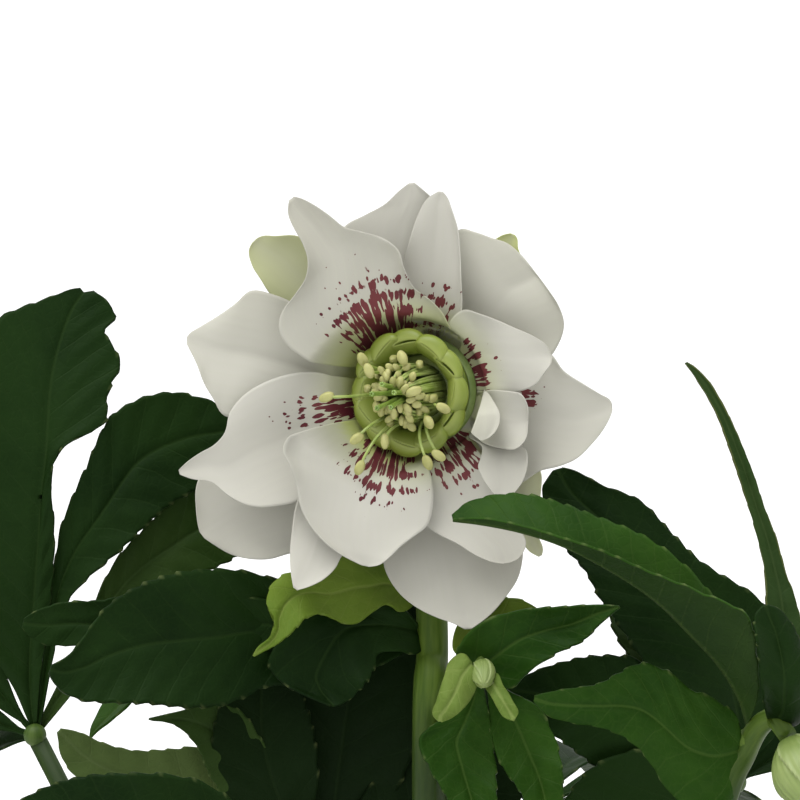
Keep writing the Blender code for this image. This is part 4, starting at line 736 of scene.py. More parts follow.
# Leaves beyond the front view: the junction in the pot's frame, and how the leaflets spread
OTHER_LEAVES = [
    dict(name="basal_leaf_front_right", junction=(42.0, -54.0, 204.0), lean=-42.0,
         length=64.0, spread=98.0, droop=0.75),
    dict(name="basal_leaf_back", junction=(24.0, 62.0, 232.0), lean=70.0,
         length=70.0, spread=100.0, droop=0.6),
    dict(name="basal_leaf_back_left", junction=(-56.0, 48.0, 204.0), lean=144.0,
         length=66.0, spread=92.0, droop=0.75),
]
OTHER_LEAFLETS = 5

FEET = {
    "basal_leaf_left": (-17.0, 3.0),
    "basal_leaf_back_right": (17.0, 9.0),
    "basal_leaf_centre": (-6.0, 12.0),
    "basal_leaf_front_left": (-15.0, -12.0),
    "basal_leaf_front_right": (15.0, -15.0),
    "basal_leaf_back": (5.0, 21.0),
    "basal_leaf_back_left": (-17.0, 19.0),
    "flower_stem_main": (3.0, -3.0),
    "flower_stem_middle": (2.0, -20.0),
    "flower_stem_right": (27.0, -15.0),
    "flower_stem_back": (-27.0, 9.0),
}
MAIN_STEM = [(5.0, -66.0, -12.0), (5.6, -42.0, -12.0), (5.0, -16.0, -15.0)]
MIDDLE_STEM = [(10.0, -74.0, -6.0), (10.5, -54.0, -8.5), (11.8, -46.5, -8.0), (13.8, -45.0, -4.5),
               (14.3, -45.4, -0.6)]
RIGHT_STEM = [(52.0, -84.0, 10.0), (60.0, -60.0, 16.0), (64.5, -54.5, 19.0), (67.0, -58.0, 23.0)]
BACK_STEM_KNOTS = [(-27.0, 24.0, 200.0), (-34.0, 38.0, 262.0), (-36.0, 50.0, 280.0),
                   (-36.0, 58.0, 276.0)]
BACK_BRACTS_AT = Vector((-34.0, 39.0, 262.0))
BACK_BRACTS = [(150.0, 40.0, 2.0), (208.0, 36.0, 6.0), (10.0, 32.0, 0.0)]


def blade_half_width(t, width, widest):
    """A lance-shaped outline: the half width at t along the blade."""
    power = math.log(0.5) / math.log(widest)
    full = math.sin(math.pi * min(max(t, 0.0), 1.0) ** power)
    return max(0.55 * (1.0 - t), 0.12, width * max(full, 0.0) ** 0.85)


def leaflet_lines(blade):
    """The two margins of a measured leaflet and its midrib, from its foot to its tip."""
    base = Vector(blade["at"])
    first = (Vector(blade["a"][0]) + Vector(blade["b"][0])) / 2
    way = (first - base).normalized()
    left = Vector((way.y, -way.x)) * (BLADE_FOOT / UNIT)
    foot = base + way * (BLADE_START / UNIT)
    a = smooth_line([foot + left, *blade["a"], blade["tip"]])
    b = smooth_line([foot - left, *blade["b"], blade["tip"]])
    rib = smooth_line([foot, *blade["mid"], blade["tip"]]) if "mid" in blade else None
    return a, b, rib


def plain_frame(blade, t):
    """The middle of a plain leaflet at t, its side and its normal, its length and half width."""
    if "spine" in blade:
        spine = list(blade["spine"])
        face = Vector((0.0, 0.0, 1.0))
    else:
        spine = [seen(blade[part]) for part in ("base", "bend", "tip")]
        face = seen_direction(blade["face"])
    spine[0] = spine[0] + (spine[1] - spine[0]).normalized() * BLADE_START
    along = bezier_direction(spine, t)
    side = along.cross(face).normalized()
    length = (spine[1] - spine[0]).length * 0.5 + (spine[2] - spine[1]).length * 0.5
    length = length * 0.6 + (spine[2] - spine[0]).length * 0.4
    half = blade_half_width(t, blade["width"], blade.get("widest", 0.45))
    return bezier(spine, t), along, side, side.cross(along).normalized(), length, half


def blade_place(blade, s, t):
    """A point of a leaflet: s across it and t along it, with its teeth and its quilting."""
    measured = "at" in blade
    sign = 1.0 if s > 0 else -1.0
    reach = abs(s)
    phase = blade.get("phase", 0.0)
    if measured:
        if "lines" not in blade:
            blade["lines"] = leaflet_lines(blade)
        a, b, rib = blade["lines"]
        t = t * TIP_SHARE
        length = (Vector(blade["tip"]) - Vector(blade["at"])).length * UNIT
        left, right = along_line(a, t), along_line(b, t)
        middle = along_line(rib, t) if rib else (left + right) * 0.5
        half = max(((right if s > 0 else left) - middle).length * UNIT, 0.1)
    else:
        centre, along, side, normal, length, half = plain_frame(blade, t)
    full = min(1.0, half / 4.0)
    beat = length * t / TOOTH_PITCH + (0.35 if s > 0 else 0.0) + 0.6 * math.sin(phase + t * 9.0)
    climb = beat % 1.0
    tooth = climb if climb < TOOTH_PEAK else (1.0 - climb) / 0.22 * TOOTH_PEAK
    toothed = blade.get("toothed", TOOTH_DEPTH) * ease(t, 0.06, 0.2) * ease(t, 1.0, 0.96)
    edge = ease(reach, 0.8, 1.0)
    out = reach * half + (tooth - 0.4) * toothed * edge * min(1.5, half * 0.22)
    ahead = tooth * toothed * edge * TOOTH_PITCH * 0.25
    ripple = LEAFLET_WAVE * reach * math.sin(4.0 * math.pi * t + phase + s) * full
    frill = 0.35 * reach**3 * math.sin(15.0 * t + phase * 2.0 + 2.0 * sign) * full
    lead = length * t - out * VEIN_SLANT
    quilt = QUILT_DEPTH * math.sin(2.0 * math.pi * lead / VEIN_SPACING)
    quilt *= ease(reach, 0.1, 0.4) * full
    groove = -RIB_GROOVE * math.exp(-((out / 0.7) ** 2)) * ease(t, 1.0, 0.85)
    pale = ease(tooth, 0.6, TOOTH_PEAK) * ease(reach, 0.93, 1.0) * toothed
    if blade.get("finish") == "plain":
        pale = ease(reach, 0.93, 1.0) * 0.6
    charts = {"blade": (sign * out, length * t)}
    if not measured:
        fold = blade.get("fold", 0.25)
        lift = out * math.sin(fold) + ripple + frill + quilt + groove
        point = centre + side * (sign * out * math.cos(fold)) + normal * lift + along * ahead
        return point, charts, {"tooth": pale * 0.8}
    on = t + ahead / length
    left, right = along_line(a, on), along_line(b, on)
    middle = along_line(rib, on) if rib else (left + right) * 0.5
    margin = right if s > 0 else left
    spot = middle + (margin - middle) * (out / half)
    rise = blade.get("lift", MARGIN_LIFT)[1 if s > 0 else 0] * (reach if rib else s * s) * full
    depth = smooth_between(blade["depth"], t) + rise + ripple + frill + quilt + groove
    return view_point(spot.x, spot.y, depth), charts, {"tooth": pale * 0.8}


def fan_blade(centre, turn_deg, length, rise, reach, drop, **more):
    """A plain leaflet that leaves a junction at an angle, arches up and droops at its tip."""
    turn = math.radians(turn_deg)
    out = Vector((math.cos(turn), math.sin(turn), 0.0))
    bend = centre + out * (length * 0.5) + Vector((0.0, 0.0, length * rise))
    tip = centre + out * (length * reach) - Vector((0.0, 0.0, drop))
    return dict(spine=[centre, bend, tip], widest=0.6, coarse=True, **more)


def other_leaf_blades(leaf, draw):
    """A fan of leaflets about the junction, the middle ones longest, all drooping at the tip."""
    blades = []
    centre = Vector(leaf["junction"])
    for index in range(OTHER_LEAFLETS):
        share = index / (OTHER_LEAFLETS - 1) * 2.0 - 1.0
        turn = leaf["lean"] + share * leaf["spread"] + draw.uniform(-3.0, 3.0)
        length = leaf["length"] * (1.0 - 0.28 * share * share) * draw.uniform(0.94, 1.06)
        blades.append(fan_blade(centre, turn, length, 0.22, 0.92, length * leaf["droop"] * 0.4,
                                width=length * 0.15, phase=index))
    return blades


def leafy_stem(name, knots, radii, blades, looks):
    """A stem from its foot through the knots, with its leaflets, as two pieces of one node."""
    x, y = FEET[name]
    low = Vector((x, y, SOIL_TOP - STEM_HOLE_DEPTH + 2.0))
    above_soil = Vector((x, y, SOIL_TOP + 8.0))
    points = [low] + curve_through([above_soil] + knots[:-1], 12) + knots[-1:]
    last = len(points) - 1
    sizes = [radii[0] + (radii[1] - radii[0]) * i / last for i in range(last + 1)]
    shape = blank()
    tube_onto(shape, points, sizes, 20, True)
    if blades:
        first = blades[0]
        if "spine" in first:
            start = first["spine"][0]
        else:
            start = view_point(*first["at"], first["depth"][0][1])
        egg_onto(shape, start, (JUNCTION_RADIUS,) * 3, Vector((0.0, 0.0, 1.0)), 20, 16)
    finished(name + "_stalk", shape, [looks["stem"]], name)
    groups = {}
    for blade in blades:
        groups.setdefault(blade.get("finish", "leaf"), []).append(blade)
    for kind, members in groups.items():
        shape = blank()
        for blade in members:
            columns, rows = COARSE_GRID if "coarse" in blade else FINE_GRID
            grid_onto(shape, columns, rows, lambda s, t, one=blade: blade_place(one, s, t))
        finished(f"{name}_{kind}_blades", shape, [looks[kind], looks[kind + "_under"]],
                 name, BLADE_THICKNESS)


# The name of each finish, then dark, light, vein and gloss of the upper side, with its vein
# spacing, its rim and how much its veins show where these aren't the usual, and of the under side
LEAF_LOOKS = {
    "leaf": ("leaf",
             ((0.0028, 0.0102, 0.0014), (0.0077, 0.0217, 0.0034), (0.0149, 0.0322, 0.0068), 0.5),
             ((0.0098, 0.0238, 0.0056), (0.0182, 0.0364, 0.0098))),
    # deep, the shaded_leaf finish, is a darker copy of the leaf finish: painted shade on the
    # centre leaf's leaflets.
    "deep": ("shaded_leaf",
             ((0.0017, 0.0055, 0.0009), (0.0041, 0.0116, 0.0020), (0.0088, 0.0187, 0.0044), 0.55),
             ((0.0060, 0.0144, 0.0036), (0.0108, 0.0228, 0.0060))),
    "pale": ("soft_leaf",
             ((0.0331, 0.0562, 0.0130), (0.0576, 0.0864, 0.0245), (0.0720, 0.1008, 0.0360), 0.6),
             ((0.0320, 0.0520, 0.0176), (0.0480, 0.0720, 0.0256))),
    "olive": ("olive_leaf",
              ((0.0115, 0.0281, 0.0036), (0.0229, 0.0446, 0.0090), (0.0351, 0.0619, 0.0180), 0.5),
              ((0.0123, 0.0265, 0.0063), (0.0213, 0.0397, 0.0112))),
    "plain": ("smooth_leaf",
              ((0.0102, 0.0255, 0.0051), (0.0221, 0.0425, 0.0102), (0.0382, 0.0595, 0.0187), 0.5,
               7.0, (0.1105, 0.1190, 0.0340), 0.6),
              ((0.022, 0.042, 0.010), (0.036, 0.060, 0.018))),
    "mid": ("young_leaf",
            ((0.0076, 0.0280, 0.0020), (0.0209, 0.0571, 0.0053), (0.0437, 0.0815, 0.0151), 0.45,
             4.5),
            ((0.0075, 0.0225, 0.0023), (0.0165, 0.0390, 0.0053), (0.0338, 0.0600, 0.0120))),
    "bract": ("bract",
              ((0.0558, 0.0972, 0.0090), (0.1035, 0.1548, 0.0198), (0.1530, 0.1980, 0.0450), 0.5,
               4.0),
              ((0.0540, 0.0855, 0.0126), (0.0855, 0.1215, 0.0234), (0.1350, 0.1710, 0.0540))),
}


def build_foliage():
    """The basal leaves and the leafy flower stems."""
    looks = {}
    for kind, (name, upper, under) in LEAF_LOOKS.items():
        looks[kind] = leaf_finish(name + "_upper", *upper)
        looks[kind + "_under"] = underside_finish(name + "_under", *under)
    looks["stem"] = stem_finish("leaf_stalk", (0.030, 0.062, 0.008), (0.060, 0.100, 0.016),
                                (0.065, 0.018, 0.024))
    flower_stem = stem_finish("flower_stem", (0.045, 0.088, 0.007), (0.082, 0.135, 0.015),
                              (0.075, 0.020, 0.028))
    flower_looks = {**looks, "stem": flower_stem}
    radii = (2.4, 1.7)
    measured = [
        ("basal_leaf_left", (-36.0, 2.0, 190.0), LEFT_JUNCTION, LEFT_LEAF),
        ("basal_leaf_back_right", (36.0, 8.0, 190.0), BACK_RIGHT_JUNCTION, BACK_RIGHT_LEAF),
        ("basal_leaf_centre", (-10.0, 8.0, 190.0), CENTRE_JUNCTION, CENTRE_LEAF),
        ("basal_leaf_front_left", (-18.0, -26.0, 180.0), FRONT_LEFT_JUNCTION, FRONT_LEFT_LEAF),
    ]
    for name, middle, junction, blades in measured:
        leafy_stem(name, [Vector(middle), seen(junction)], radii, blades, looks)
    draw = random.Random(7)
    for leaf in OTHER_LEAVES:
        x, y = FEET[leaf["name"]]
        junction = Vector(leaf["junction"])
        middle = Vector((x, y, SOIL_TOP)).lerp(junction, 0.45) + Vector((0.0, 0.0, 14.0))
        leafy_stem(leaf["name"], [middle, junction], radii, other_leaf_blades(leaf, draw), looks)
    knots = [seen(place) for place in MAIN_STEM]
    back = HUB_DEPTH - HUB_THICKNESS - RING_GAP
    knots += [bloom_point(0.0, 0.0, back - 5.0), bloom_point(0.0, 0.0, back)]
    leafy_stem("flower_stem_main", knots, (3.2, 2.4), MAIN_BRACTS, flower_looks)
    leafy_stem("flower_stem_middle", [seen(place) for place in MIDDLE_STEM], (2.6, 1.2),
               MIDDLE_BRACTS, flower_looks)
    leafy_stem("flower_stem_right", [seen(place) for place in RIGHT_STEM], (2.8, 1.6),
               RIGHT_BRACTS, flower_looks)
    blades = [fan_blade(BACK_BRACTS_AT, turn, length, 0.3, 0.9, drop, width=length * 0.16,
                        phase=turn, finish="mid") for turn, length, drop in BACK_BRACTS]
    leafy_stem("flower_stem_back", [Vector(knot) for knot in BACK_STEM_KNOTS], (2.4, 1.5), blades,
               flower_looks)


# Bloom


def bloom_point(x, y, height):
    return BLOOM_CENTRE + BLOOM_RIGHT * x + BLOOM_UP * y + BLOOM_AXIS * height


def bloom_ring_point(radius, turn, height):
    return bloom_point(radius * math.cos(turn), radius * math.sin(turn), height)


def front_point(x, y, depth):
    return BLOOM_CENTRE + ACROSS * x + UPWARD * y + TOWARD * depth


# Each tepal: the angle of its root on the hub, its tip, its counter-clockwise margin a and its
# clockwise margin b in the front view, its depth along it and its margins' lift. spots is
# the fan of burgundy marks: from and to this far out, about this angle, so many degrees each
# way, how strong. tinge is green at the root and over the whole. curl is (side, turn, from, to,
# start) of a rolled margin. layer is its order over its neighbours beside the nectaries, where it
# isn't its place in the table.

TEPALS = {
    "outer_top": dict(root=95, tip=(412, 181), depth=[(0.3, -4), (0.6, -2), (1, -1)],
        tint_and_shade=(0.2, 0.0),
        a=[(352, 320), (340, 280), (335, 250), (344, 227), (365, 215), (385, 204), (400, 190)],
        b=[(445, 320), (458, 280), (456, 240), (442, 212), (431, 197), (422, 189)]),
    "outer_upper_left": dict(root=140, tip=(254, 240), depth=[(0.3, -7), (0.6, -5.5), (1, -4)],
        tint_and_shade=(0.5, 0.5),
        a=[(325, 335), (292, 312), (270, 294), (261, 280), (252, 265), (249, 250)],
        b=[(355, 305), (330, 265), (312, 244), (297, 236), (275, 236), (262, 236)]),
    "outer_left": dict(root=172, tip=(185, 340), depth=[(0.3, -5), (0.6, -3), (1, -2)],
        lift=(1.0, 0.5), tint_and_shade=(0.35, 0.03),
        a=[(345, 418), (290, 424), (245, 420), (222, 414), (214, 400), (205, 385), (196, 362),
           (190, 350)],
        b=[(345, 345), (305, 310), (275, 295), (250, 291), (235, 304), (215, 318), (200, 327),
           (189, 334)]),
    "outer_lower_left": dict(root=-143, tip=(201, 536), depth=[(0.3, -7), (0.6, -5.5), (1, -4)],
        tint_and_shade=(0.2, 0.02),
        a=[(372, 495), (345, 535), (312, 550), (288, 554), (270, 559), (250, 559), (230, 554),
           (213, 544)],
        b=[(335, 425), (275, 442), (225, 456), (203, 470), (196, 488), (196, 508), (198, 525)]),
    "outer_bottom": dict(root=-78, tip=(468, 631), depth=[(0.3, -6), (0.6, -3), (1, -1)],
        lift=(1.0, 0.8), tint_and_shade=(0.2, 0.02),
        a=[(470, 470), (505, 498), (522, 530), (523, 555), (518, 578), (505, 598), (490, 615),
           (477, 625)],
        b=[(400, 480), (388, 525), (383, 552), (384, 566), (391, 582), (401, 595), (416, 607),
           (436, 617), (455, 624)]),
    "outer_lower_right": dict(root=-45, tip=(541, 558), depth=[(0.3, -6), (0.6, -5), (1, -5)],
        tint_and_shade=(0.4, 0.4),
        a=[(478, 430), (518, 458), (540, 470), (541, 492), (537, 515), (538, 535), (543, 550)],
        b=[(455, 455), (478, 495), (502, 525), (518, 536), (530, 552)]),
    "outer_right": dict(root=-3, tip=(613, 407), depth=[(0.3, -4), (0.6, -1.5), (1, 0)],
        lift=(0.5, 1.0), spots=(20.3, 24.0, -1, 7, 1.1), tint_and_shade=(0.2, 0.02),
        a=[(475, 365), (510, 345), (538, 346), (552, 355), (563, 370), (582, 383), (600, 394),
           (610, 400)],
        b=[(470, 430), (498, 468), (518, 483), (540, 471), (560, 466), (576, 459), (591, 445),
           (605, 427), (611, 415)]),
    "outer_upper_right": dict(root=50, tip=(538, 276), depth=[(0.3, -3.5), (0.6, -1), (1, 0)],
        tint_and_shade=(0.5, 0.05),
        a=[(430, 330), (442, 280), (450, 245), (460, 229), (475, 232), (492, 238), (507, 243),
           (520, 254)],
        b=[(478, 352), (515, 366), (545, 362), (557, 347), (564, 322), (558, 305), (549, 291)]),
    "outer_green_edge": dict(root=57, tip=(513, 233), depth=[(0.3, -6), (0.6, -4.5), (1, -3.5)],
        lift=(0.5, 0.8), tint_and_shade=(0.4, 0.75),
        a=[(440, 315), (470, 262), (494, 240), (503, 235)],
        b=[(490, 335), (520, 305), (529, 282), (525, 264), (518, 248), (517, 238)]),
    "inner_upper_left": dict(root=118, tip=(290, 196), depth=[(0.25, -1), (0.55, 2.5), (1, 4)],
        lift=(1.5, 2.0), spots=(10.2, 24.6, 112, 29, 1.35), tint_and_shade=(0.8, 0.02),
        curl=(1, 1.6, 0.1, 0.62, 0.72),
        a=[(350, 372), (325, 369), (304, 358), (288, 346), (279, 330), (281, 314), (294, 296),
           (306, 277), (308, 262), (302, 242), (295, 230), (288, 212)],
        b=[(452, 345), (450, 330), (443, 314), (430, 300), (414, 288), (404, 268), (398, 250),
           (384, 239), (362, 232), (344, 227), (330, 216), (314, 205), (300, 198)]),
    "inner_top": dict(root=72, tip=(441, 190), depth=[(0.3, -2), (0.6, -0.5), (1, 1.5)],
        lift=(-0.5, 3.0), spots=(9, 21.5, 73, 13, 1.4), tint_and_shade=(0.4, 0.0),
        curl=(1, 1.5, 0.0, 0.9, 0.62),
        a=[(412, 320), (402, 290), (404, 262), (410, 238), (418, 215), (428, 198)],
        b=[(458, 335), (462, 305), (461, 280), (460, 252), (458, 230), (452, 210), (447, 197)]),
    "inner_right": dict(root=30, tip=(552, 356), depth=[(0.3, 0), (0.6, 3), (1, 5)],
        lift=(1.0, 1.0), spots=(10.4, 17.0, 20, 22, 1.25), tint_and_shade=(0.5, 0.0),
        a=[(446, 335), (452, 318), (463, 310), (480, 314), (497, 320), (515, 328), (533, 336),
           (546, 345)],
        b=[(470, 388), (486, 393), (505, 394), (522, 391), (536, 384), (545, 372), (551, 363)]),
    "inner_funnel": dict(root=-8, tip=(528, 421), depth=[(0.3, -1), (0.6, 2.5), (1, 4)],
        lift=(2.0, 2.5), tint_and_shade=(0.2, 0.0),
        a=[(470, 392), (490, 390), (508, 391), (521, 394), (527, 404)],
        b=[(468, 425), (482, 442), (500, 448), (515, 449), (525, 440)]),
    "inner_flap": dict(root=-14, tip=(481, 441), depth=[(0.3, 1.5), (0.6, 6.5), (1, 7)],
        lift=(-1.5, 0.5), tint_and_shade=(0.1, 0.0), curl=(-1, 1.2, 0.2, 1.0, 0.5),
        a=[(470, 391), (484, 390), (494, 402), (500, 415), (497, 429), (490, 437)],
        b=[(465, 396), (465, 408), (467, 420), (471, 432)]),
    "inner_small_lobe": dict(root=-38, tip=(498, 499), depth=[(0.3, -1), (0.6, 3), (1, 4.5)],
        lift=(1.0, 1.5), tint_and_shade=(0.1, 0.0),
        a=[(485, 425), (512, 438), (526, 450), (527, 468), (520, 486), (510, 496)],
        b=[(470, 438), (482, 447), (481, 457), (478, 466), (482, 477), (489, 488)]),
    "inner_lower_right": dict(root=-60, tip=(506, 564), depth=[(0.3, 0), (0.6, 1.5), (1, 2)],
        lift=(0.5, 0.8), spots=(10.6, 20.8, -52, 24, 1.3), tint_and_shade=(0.4, 0.0),
        a=[(465, 430), (492, 470), (508, 500), (516, 522), (526, 545), (519, 558)],
        b=[(425, 455), (416, 485), (416, 508), (425, 525), (438, 534), (456, 543), (477, 556),
           (492, 562)]),
    "inner_bottom": dict(root=-112, tip=(366, 567), depth=[(0.25, 0), (0.55, 4), (1, 4.5)],
        lift=(1.0, 2.5), spots=(10.2, 22.0, -110, 27, 1.3), tint_and_shade=(0.4, 0.0), layer=24,
        curl=(1, 0.8, 0.1, 0.6, 0.75),
        a=[(424, 450), (432, 480), (433, 505), (427, 526), (413, 537), (400, 547), (391, 556),
           (379, 565)],
        b=[(362, 438), (335, 426), (305, 429), (287, 439), (283, 450), (290, 465), (296, 484),
           (301, 508), (316, 533), (340, 554), (353, 561)]),
    "inner_pointed": dict(root=-127, tip=(294, 591), depth=[(0.3, -1.5), (0.6, 2.5), (1, 6)],
        tint_and_shade=(0.2, 0.0),
        a=[(385, 490), (375, 530), (355, 550), (342, 556), (336, 567), (324, 579), (308, 587)],
        b=[(340, 445), (310, 475), (296, 505), (292, 530), (290, 552), (291, 574)]),
    "inner_left": dict(root=192, tip=(176, 473), depth=[(0.3, -2.5), (0.6, 0), (1, 1)],
        lift=(1.2, 0.8), spots=(9.5, 24.5, 192.5, 11, 1.25), tint_and_shade=(0.35, 0.0),
        a=[(350, 432), (322, 470), (298, 501), (275, 506), (258, 507), (244, 504), (229, 496),
           (211, 482), (192, 479)],
        b=[(350, 380), (312, 372), (270, 380), (245, 394), (230, 412), (224, 434), (214, 445),
           (200, 453), (186, 463)]),
}
TEPAL_ROOT_RADIUS = 7.5
TEPAL_ROOT_DEPTH = -9.0
TEPAL_ROOT_SPREAD = 0.4
CUP_FOOT_HEIGHT = -8.7
CUP_FOOT_RADIUS = 10.5
CUP_SLOPE = 3.5
CUP_LAYER = 0.09
TEPAL_RUFFLE = 0.7
TEPAL_WAVE = 0.5
TEPAL_GROOVE = 0.1
GREEN_ROOT = (19.0, 10.0)
PRESSED_GREEN = (14.5, 11.5)

LONG_STAMENS = [
    (-14.0, -0.7, 4.5), (-8.8, -7.8, 4.5), (-4.0, -8.3, 5.0), (-8.3, -12.8, 5.0),
    (3.5, -5.0, 7.0), (3.3, -11.9, 6.0), (5.2, -10.7, 5.5), (-7.8, 5.7, 5.0),
    (-1.0, 6.0, 5.5), (-6.7, 3.8, 6.0), (1.0, 0.3, 8.0), (6.0, -2.6, 6.0),
]
STAMENS_SEEDED = 6
SMALL_STAMENS = 48
CARPELS = 5
STIGMA_BEADS = 5
STIGMA_BEAD_RADIUS = 0.22


def clear_of_cup(point, layer):
    """The point, pressed down outside the nectaries where it would run into them."""
    flat = point - BLOOM_CENTRE
    height = flat.dot(BLOOM_AXIS)
    radius = (flat - BLOOM_AXIS * height).length
    radius -= CUP_LAYER * (len(TEPALS) - layer)
    highest = CUP_FOOT_HEIGHT + max(0.0, radius - CUP_FOOT_RADIUS) * CUP_SLOPE
    return point - BLOOM_AXIS * max(0.0, height - highest)


def tepal_lines(tepal):
    """The two margins of a tepal, from its root on the hub to its tip, and its depth along it."""
    lines = []
    for key, sign in (("a", 1.0), ("b", -1.0)):
        turn = math.radians(tepal["root"]) + sign * TEPAL_ROOT_SPREAD
        foot, depth = view_of(bloom_ring_point(TEPAL_ROOT_RADIUS, turn, TEPAL_ROOT_DEPTH))
        lines.append(smooth_line([foot, *tepal[key], tepal["tip"]]))
    return lines, [(0.0, depth), *tepal["depth"]]


def rolled(tepal, sign, reach, half, t):
    """How far out and how far up a place is on a margin that rolls toward the viewer."""
    out, lift = reach * half, 0.0
    if "curl" not in tepal or tepal["curl"][0] != sign:
        return out, lift
    _, turn, begin, end, start = tepal["curl"]
    turn = turn * math.sin(math.pi * min(max((t - begin) / (end - begin), 0.0), 1.0)) ** 0.6
    if turn < 0.02:
        return out, lift
    strip = (1.0 - start) * half
    scale = half / (start * half + strip * math.sin(turn) / turn)
    if reach > start:
        share = (reach - start) / (1.0 - start)
        out = (start * half + strip * math.sin(turn * share) / turn) * scale
        lift = strip * (1.0 - math.cos(turn * share)) / turn * scale
    else:
        out = reach * half * scale
    return out, lift


def tepal_place(tepal, seed, s, t):
    """A point of a tepal: s across it and t along it, with its curled and ruffled margin."""
    t = t * TIP_SHARE
    (a, b), stops = tepal["lines"]
    left, right = along_line(a, t), along_line(b, t)
    middle = (left + right) * 0.5
    margin = right if s > 0 else left
    half = max((margin - middle).length * UNIT, 0.1)
    reach = abs(s)
    sign = 1.0 if s > 0 else -1.0
    full = min(1.0, half / 5.0)
    out, lift = rolled(tepal, sign, reach, half, t)
    lift += tepal.get("lift", MARGIN_LIFT)[1 if s > 0 else 0] * s * s * full
    frill = math.sin(7.0 * t + seed * 1.7 + sign) + 0.4 * math.sin(15.0 * t + seed * 2.9 - sign)
    lift += TEPAL_RUFFLE * frill * reach**3 * ease(t, 0.15, 0.5) * full
    lift += TEPAL_WAVE * math.sin(out * 0.33 + seed * 1.3) * math.sin(5.0 * t + seed) * full
    lift -= TEPAL_GROOVE * math.exp(-((out / 1.2) ** 2)) * ease(t, 0.2, 0.4) * ease(t, 1.0, 0.9)
    spot = middle + (margin - middle) * (out / half)
    free = view_point(spot.x, spot.y, smooth_between(stops, t) + lift)
    point = clear_of_cup(free, tepal.get("layer", seed))
    pressed = ease((free - point).length, 0.2, 3.5)
    flat = point - BLOOM_CENTRE
    x, y = flat.dot(ACROSS), flat.dot(UPWARD)
    radius = math.hypot(x, y)
    turned = (math.degrees(math.atan2(y, x)) - tepal["root"] + 180.0) % 360.0 - 180.0
    marks = {}
    if "spots" in tepal:
        near, far, about, spread, strength = tepal["spots"]
        off = abs((turned + tepal["root"] - about + 180.0) % 360.0 - 180.0) / spread
        share = (radius - near) / (far - near)
        ragged = 0.18 * math.sin(radius * 2.3 + seed) + 0.12 * math.sin(turned * 0.9)
        fan = ease(off + ragged, 1.15, 0.7) * ease(share, -0.35, -0.15)
        marks["spotted"] = strength * fan * ease(share + ragged + 0.3 * off, 1.15, 0.35)
        marks["streaky"] = ease(share + 0.3 * off, 1.0, 0.6)
    root, whole = tepal["tint_and_shade"]
    tint_and_shade = root * ease(radius, *GREEN_ROOT) + whole * (0.7 + 0.3 * reach)
    marks["tint_and_shade"] = min(1.0, max(tint_and_shade, 0.9 * pressed * ease(radius, *PRESSED_GREEN)))
    arc = math.radians(turned) * 15.0 + 20.0 * seed
    return point, {"blade": (sign * out, 45.0 * t), "polar": (arc, radius)}, marks


def build_bloom():
    petals = petal_finish("tepal_white")
    for seed, (name, tepal) in enumerate(TEPALS.items()):
        tepal["lines"] = tepal_lines(tepal)
        shape = blank()
        grid_onto(shape, *TEPAL_GRID, lambda s, t, one=tepal, n=seed: tepal_place(one, n, s, t))
        finished("tepal_" + name, shape, [petals], "bloom_tepals", TEPAL_THICKNESS)
    shape = blank()
    foot = HUB_DEPTH - HUB_THICKNESS
    hub = [(0.0, HUB_DEPTH), (8.0, HUB_DEPTH), (HUB_RADIUS, HUB_DEPTH - 0.6),
           (HUB_RADIUS - 0.3, HUB_DEPTH - 1.8), (7.0, foot + 0.6), (3.6, foot), (0.0, foot)]
    lathe_onto(shape, hub, 40)
    hub_green = fleshy_finish("hub_green", (0.16, 0.23, 0.06), (0.24, 0.32, 0.10), 0.5)
    finished("bloom_hub", shape, [hub_green], "bloom_tepals")
    build_nectaries()
    build_stamens()
    build_carpels()


def lathe_onto(shape, profile, around):
    """A turned form on the bloom's axis, from its middle on top round to its middle below."""
    count = len(profile) - 1

    def place(s, t):
        radius, height = profile[count - round(t * count)]
        turn = math.pi * s
        return bloom_ring_point(radius, turn, height), {"blade": (turn, t)}, {}

    grid_onto(shape, around, count, place, True)


def ring_onto(shape, inner, outer, base, around):
    """A flat ring on the bloom's axis, standing on the hub."""
    top = base + RING_THICKNESS
    lathe_onto(shape, [(inner, top), (inner, base), (outer, base), (outer, top), (inner, top)],
               around)


NECTARY_COUNT = 12
OPEN_NECTARIES = (1, 3, 11)
NECTARY_HEIGHT = 7.0
NECTARY_LEAN = 1.3
NECTARY_RING_RADIUS = 7.6
NECTARY_BODY_END = 0.45
NECTARY_LIPS_END = 0.78
CLOSED_SLIT = 0.02


